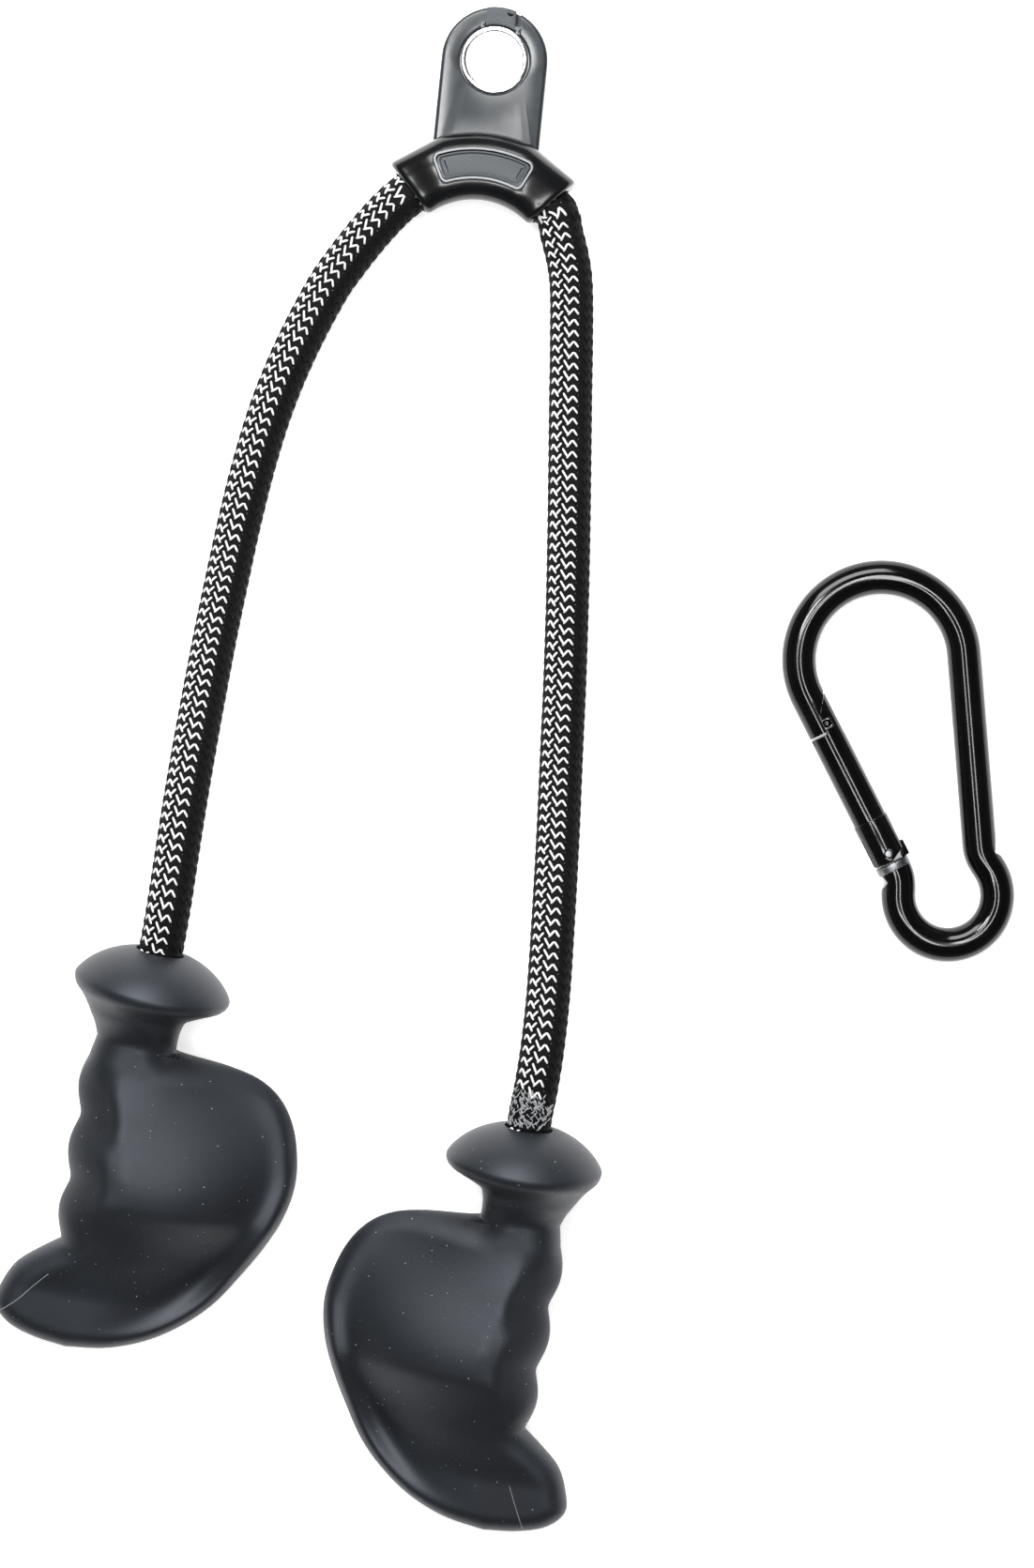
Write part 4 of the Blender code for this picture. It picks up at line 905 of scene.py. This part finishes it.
def buildPlate(finish, steel, worn):
    half, thick, rounding = hanger["plate"]
    eye, foot, (hole, holeRound) = hanger["eye"], hanger["foot"], hanger["hole"]
    back = -thick / 2
    bm = bmesh.new()
    turn = asin(half / foot)
    right, left = arcOf(bm, (half, eye, back), (0, eye, back), pi, 48)
    footRight, footLeft = arcOf(bm, (half, foot * cos(turn), back), (0, 0, back), 2 * turn, 14)
    bm.edges.new((right, footRight))
    bm.edges.new((left, footLeft))
    bmesh.ops.create_circle(bm, segments=64, radius=hole, matrix=Matrix.Translation((0, eye, back)))
    bmesh.ops.triangle_fill(bm, edges=bm.edges[:], use_beauty=True, use_dissolve=False)
    raised(bm, thick)

    def roundHole(edge):
        spot = edge.verts[0].co
        return hypot(spot.x, spot.y - eye) < hole + 0.7 * mm

    rims = [e for e in sharpEdges(bm) if abs(e.verts[0].co.z - e.verts[1].co.z) < 0.01 * mm
            and (e.verts[0].co + e.verts[1].co).y / 2 > 44 * mm]  # the foot's corners stay sharp
    soften(bm, [e for e in rims if not roundHole(e)], rounding, 4, False)
    soften(bm, [e for e in sharpEdges(bm) if roundHole(e)], holeRound, 3, False)
    left, right, low, high, lift = hanger["wear"]
    cut(bm, block((right, eye + low, thick / 2 - 4 * mm),
                  (right + hanger["slot"], eye + high + 2 * mm, thick)))
    plate = addPiece("eye_plate", bm, [finish], 35, hangerPlace)
    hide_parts("hanger_plate")
    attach(plate, "hanger")

    # wear block over the eye, with a dimple, and two lugs on the bush
    bm = sectorSheet(low, high, 34, 0.4 * mm, 0)
    raised(bm, thick / 2 + lift)
    cut(bm, block((left, 0, thick / 2 - 0.6 * mm), (right, 2 * high, thick)), "INTERSECT")
    soften(bm, sharpEdges(bm), 0.15 * mm, 2)
    radius, fromRight, fromTop = hanger["dimple"]
    cut(bm, rod(radius, thick / 2, thick, 24, Matrix.Translation((right - fromRight, high - fromTop, 0))))
    lugHalf, lugLong, lugRise = hanger["lugSize"]
    for end, (x, y) in zip((left, right), hanger["lugs"]):
        lug = block((end + x - lugHalf, low + y, thick / 2 - 0.2 * mm),
                    (end + x + lugHalf, low + y + lugLong, thick / 2 + lugRise))
        soften(lug, lug.edges[:], 0.2 * mm, 2)
        for face in lug.faces:
            face.material_index = 1
        mergeInto(bm, lug)
    wear = addPiece("eye_wear_block", bm, [worn, finish], 40, eyePlace)
    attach(wear, "hanger")

    # bush: a turned ring with rounded lips
    inner, outer, face = hanger["bush"]
    bm = bmesh.new()
    ring = bmesh.ops.create_grid(bm, x_segments=1, y_segments=1, size=0.5)["verts"]
    for vert in ring:
        vert.co = (inner + (outer - inner) * (vert.co.x + 0.5), 0, 2 * face * vert.co.y)
    bmesh.ops.bevel(bm, geom=ring, offset=hanger["bushRound"], segments=5, profile=0.5, affect="VERTICES",
                    material=-1)
    bmesh.ops.delete(bm, geom=bm.faces[:], context="FACES_ONLY")
    bmesh.ops.spin(bm, geom=bm.verts[:] + bm.edges[:], cent=(0, 0, 0), axis=(0, 0, 1), angle=fullTurn,
                   steps=72, use_merge=True)
    bmesh.ops.remove_doubles(bm, verts=bm.verts, dist=0.005 * mm)
    bmesh.ops.recalc_face_normals(bm, faces=bm.faces)
    bush = addPiece("eye_bush_ring", bm, [steel], 40, eyePlace)
    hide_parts("eye_bush")
    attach(bush, "hanger")


# Snap hook: its frame stands on the centre of the large bend, +Y along the long axis
hook = {
    "place": (0.1339, 0.0392, 0.0061), "turn": 15.7, "wire": 6.1 * mm, "large": 29.4 * mm, "small": 17.6 * mm,
    "apart": 87 * mm, "taper": 11.1, "waist": 72.6 * mm, "shoulder": 20.0, "jog": 3.3 * mm,
    "ledge": ((19.8, -76.8), (27.4, -83.0), (27.4, -66), (24.2, -66)),  # cut off each shoulder, in mm
    # gate: hinge pin and nose down from the large bend's centre, tongue, heel, slot, spring bore
    "pin": 67 * mm, "nose": 19.4 * mm, "noseGap": 0.9 * mm, "pinWide": 3 * mm, "pinGap": 0.3 * mm,
    "tongue": (3.8 * mm, 4.3 * mm, 4.2 * mm), "heel": (2.8 * mm, 0.5 * mm), "slot": 8 * mm,
    "bore": (2.6 * mm, 29.8 * mm), "root": (0.35 * mm, 13.5 * mm), "collar": (3.5 * mm, 6.3 * mm),
    # latch: radius, length, across, along; ramps of the nose; running clearance
    "latch": (1.5 * mm, 8.4 * mm, 1.6 * mm, 2.6 * mm), "noseTongue": 3.4 * mm, "notch": 1.75 * mm,
    "noseSlot": 2 * mm, "rampLow": 6 * mm, "rampHigh": 14 * mm, "rampGap": 0.6 * mm, "run": 0.4 * mm,
}
taper = radians(hook["taper"])
hookPlace = Matrix.Translation(hook["place"]) @ Matrix.Rotation(radians(hook["turn"]), 4, "Z")


def flank(drop):
    return (hook["large"] - drop * sin(taper)) / cos(taper)


gateLocal = Matrix.Translation((-flank(hook["pin"]), -hook["pin"], 0)) @ Matrix.Rotation(taper, 4, "Z")
gatePlace = hookPlace @ gateLocal
noseAlong = (hook["pin"] - hook["nose"]) / cos(taper)
lieAlongY = Matrix.Rotation(pi / 2, 4, "X")


def rod(radius, low, high, sides=32, place=Matrix()):
    # a round rod along Z from low to high
    bm = bmesh.new()
    bmesh.ops.create_cone(bm, cap_ends=True, segments=sides, radius1=radius, radius2=radius, depth=high - low,
                          matrix=place @ Matrix.Translation((0, 0, (low + high) / 2)))
    return bm


def alongGate(bm):
    bm.transform(gateLocal)
    return bm


def arcPoints(centre, radius, start, end, steps):
    turns = [start + (end - start) * k / steps for k in range(steps + 1)]
    return [Vector((centre[0] + radius * cos(t), centre[1] + radius * sin(t), 0)) for t in turns]


def wedge(points, low, high):
    # an upright prism over a few points
    bm = bmesh.new()
    bm.faces.new([bm.verts.new((x, y, low)) for x, y in points])
    raised(bm, high - low)
    return bm


def hookLine():
    # nose, large bend, straight leg, jog out to the small bend, jog in to the gate's heel
    waist, shoulder = flank(hook["waist"]), radians(hook["shoulder"])
    line = [gateLocal @ Vector((0, noseAlong, 0))]
    line += arcPoints((0, 0), hook["large"], pi + taper, -taper, 72)
    bend = arcPoints((0, -hook["apart"]), hook["small"], shoulder, -pi - shoulder, 56)
    low = Vector((waist, -hook["waist"], 0))
    leg, jog = (low - line[-1]).normalized(), hook["jog"]
    into = (bend[1] - bend[0]).normalized()
    line += [line[-1].lerp(low, k / 8) for k in range(1, 8)]
    line += interpolate_bezier(low, low + leg * jog, bend[0] - into * jog, bend[0], 9) + bend[1:]
    out = (bend[-1] - bend[-2]).normalized()
    axis = gateLocal.to_3x3() @ Vector((0, 1, 0))
    low = Vector((-waist, -hook["waist"], 0))
    line += interpolate_bezier(bend[-1], bend[-1] + out * jog, low - axis * jog, low, 9)[1:]
    return line + [gateLocal @ Vector((0, -sum(hook["heel"]), 0))]


def buildHook(paint, worn):
    wire, run, wide = hook["wire"], hook["run"], 2 * hook["wire"]
    heel, heelEnd = hook["heel"][0], sum(hook["heel"])
    rampLow, rampHigh = noseAlong + hook["rampLow"], noseAlong + hook["rampHigh"]
    pinHole = hook["pinWide"] / 2 + hook["pinGap"]
    bm = roundWire(hookLine(), wire, 10)
    for side in (1, -1):
        cut(bm, wedge([(side * x * mm, y * mm) for x, y in hook["ledge"]],
                      -wide - side * 0.1 * mm, wide + side * 0.1 * mm))
    nose = noseAlong - 4 * mm
    cut(bm, alongGate(wedge([(0, nose), (wide, nose), (wide, rampHigh), (wire, rampHigh), (0, rampLow)],
                            -wide, wide)))
    radius, length, across, along = hook["latch"]
    latchY, half = noseAlong + along, hook["noseTongue"] / 2
    rampMiddle = noseAlong + (hook["rampLow"] + hook["rampHigh"]) / 2
    cut(bm, alongGate(block((-radius, latchY - radius, -half), (across + radius, rampMiddle, half))), "UNION")
    latch = rod(radius, -length / 2, length / 2, 24, Matrix.Translation((across, latchY, 0)))
    cut(bm, alongGate(soften(latch, sharpEdges(latch), 0.9 * mm)), "UNION")
    thick, halfWide, reach = hook["tongue"]
    cut(bm, alongGate(block((-halfWide, -heelEnd - wire / 2, -thick / 2),
                            (halfWide, reach, thick / 2))), "UNION")
    lug = block((halfWide - mm, -heelEnd, -thick / 2), (wire + 1.1 * mm, 2.4 * mm, thick / 2))
    cut(bm, alongGate(soften(lug, lug.edges[:], 0.5 * mm, 3)), "UNION")
    cut(bm, alongGate(rod(pinHole, -wide, wide)))
    body = addPiece("hook_body", bm, [paint], 32, hookPlace)
    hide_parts("carabiner_body")
    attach(body, "carabiner")

    collar = rod(wire + 0.06 * mm, *hook["collar"], 48, lieAlongY)
    soften(collar, sharpEdges(collar), 0.35 * mm, 3, False)
    collar = addPiece("hook_collar", collar, [worn], 40, gatePlace)
    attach(collar, "carabiner")

    # gate: a rod with a thicker root, cut for the tongue, the spring, the pin, the nose and the latch
    gate = rod(wire, -rampHigh, heel, 48, lieAlongY)
    rootRise, rootEnd = hook["root"]
    root = rod(wire + rootRise, -rootEnd, heel, 48, lieAlongY)
    cut(gate, soften(root, sharpEdges(root), 0.34 * mm, 3, False), "UNION")
    cut(gate, wedge([(0, -heel), (0, -wide), (wide, -wide), (wide, -heel + wide / 2)], -wide, wide))
    slot = thick / 2 + run
    cut(gate, block((-wide, -wide, -slot), (wide, hook["slot"], slot)))
    boreRadius, boreEnd = hook["bore"]
    cut(gate, rod(boreRadius, -boreEnd, -hook["slot"] + run, 24, lieAlongY))
    cut(gate, rod(pinHole, -wide, wide))
    low, high, past = rampLow - hook["rampGap"], rampHigh - hook["rampGap"], noseAlong + 2 * wide
    cut(gate, wedge([(0, low), (wire, high), (wide, high), (wide, past), (0, past)], -wide, wide))
    top = noseAlong - hook["noseGap"]
    cut(gate, block((-wide, top, -wide), (run, past, wide)))
    slot = half + run
    cut(gate, block((-wide, top - hook["noseSlot"], -slot), (wide, past, slot)))
    room = hook["notch"]
    cut(gate, block((-wide, latchY - room, -wide), (across + room, latchY + room, wide)))
    gate = addPiece("hook_gate", gate, [paint], 32, gatePlace)
    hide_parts("carabiner_gate")
    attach(gate, "gate")

    pin = rod(hook["pinWide"] / 2, -wire + 0.3 * mm, wire - 0.1 * mm, 32)
    soften(pin, sharpEdges(pin), 0.5 * mm, 4, False)
    pin = addPiece("hinge_pin", pin, [worn], 40, gatePlace)
    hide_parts("gate_pin")
    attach(pin, "carabiner")


def clouded(name, low, high, metallic, rough, size, strength, ior=1.5):
    # a plastic, coating or metal whose tone, gloss and relief vary in soft clouds of a size in mm
    material, tree, shader = newMaterial(name, Metallic=metallic, IOR=ior)
    place = addNode(tree, "TexCoord").outputs["Object"]
    cloud = addNode(tree, "TexNoise", Vector=place, Scale=1 / (size * mm), Detail=4.0).outputs["Fac"]
    tint = addNode(tree, "ValToRGB", {"stops": ((0.3, low), (0.75, high))}, in0=cloud)
    join(tree, tint.outputs["Color"], shader, "Base Color")
    level = addNode(tree, "MapRange", Value=cloud, From_Min=0.3, From_Max=0.7, To_Min=rough[0],
                    To_Max=rough[1])
    join(tree, level.outputs["Result"], shader, "Roughness")
    bump = addNode(tree, "Bump", Strength=strength, Distance=0.05 * mm, Height=cloud).outputs["Normal"]
    join(tree, bump, shader, "Normal")
    return material


# polished mould: deep black with clear reflections that waver a little over its sink marks
gloss = clouded("ABS moulding, gloss black", "#08090a", "#0d0e10", 0.0, (0.16, 0.24), 16.667, 0.05)
# sprayed and baked powder: an even satin sheen; its orange peel is drawn at 4 mm, the real one is about 1 mm
satin = clouded("powder coated steel, satin black", "#22272a", "#272c30", 0.0, (0.23, 0.26), 4, 0.05)
# spark-eroded mould: a grey, dull grain; drawn at 0.7 mm, the real one is about 0.1 mm
grained = clouded("ABS moulding, fine grain", "#33373b", "#3f4347", 0.0, (0.38, 0.50), 0.6667, 0.30, 1.36)
# turned and plated: nearly a mirror, hazed in patches
chrome = clouded("nickel plated steel, bright", "#d4d6d8", "#e6e7e8", 1.0, (0.12, 0.22), 8.3333, 0.04)
# plated and passivated: pale grey with a blurred sheen
zinc = clouded("zinc plated steel", "#8e9092", "#a9abad", 1.0, (0.30, 0.45), 3.3333, 0.15)
# undyed moulding: creamy and waxy
nylon = clouded("nylon, natural", "#c9c6bd", "#d8d5cd", 0.0, (0.40, 0.55), 5, 0.10)
# drawn tube: pale and satin, with faint die marks
aluminium = clouded("aluminium, as drawn", "#b9bbbe", "#cdcfd1", 1.0, (0.28, 0.40), 2, 0.20)
# a smooth, mid grey line round the badge: a painted highlight along the rounded top edge of the gloss black
# frame
paintedEdgeHighlight = clouded("acetal, mid grey on the badge frame's edge", "#6f7377", "#858a8e", 0.0, (0.35, 0.50), 3.3333, 0.10)
# dipped and stoved: wet black with hard, slightly wavy highlights
enamel = clouded("stoved enamel, gloss black", "#040405", "#080809", 0.0, (0.08, 0.14), 14.286, 0.04, 1.4)
# rubbed bare: dull grey metal with fine scuffs, drawn at 1.7 mm and so coarser than real ones
worn = clouded("steel where the enamel has worn off", "#5d5f62", "#97999c", 1.0, (0.35, 0.50), 1.6667, 0.15)
buildSaddle(gloss, grained, paintedEdgeHighlight)
buildPlate(satin, chrome, grained)
buildHook(enamel, worn)
print("hanger and snap hook ready")

# the frame's own nodes that stay: most are hidden inside the grips, the saddle and the gate
for nodeName, finish in (("rope_tube", zinc), ("ferrule_left", aluminium), ("ferrule_right", aluminium),
                         ("washer_left", zinc), ("washer_right", zinc), ("core_sleeve_left", nylon),
                         ("core_sleeve_right", nylon), ("gate_spring", zinc), ("gate_plunger", zinc)):
    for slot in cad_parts[nodeName].material_slots:
        slot.material = finish
print("inner nodes finished")
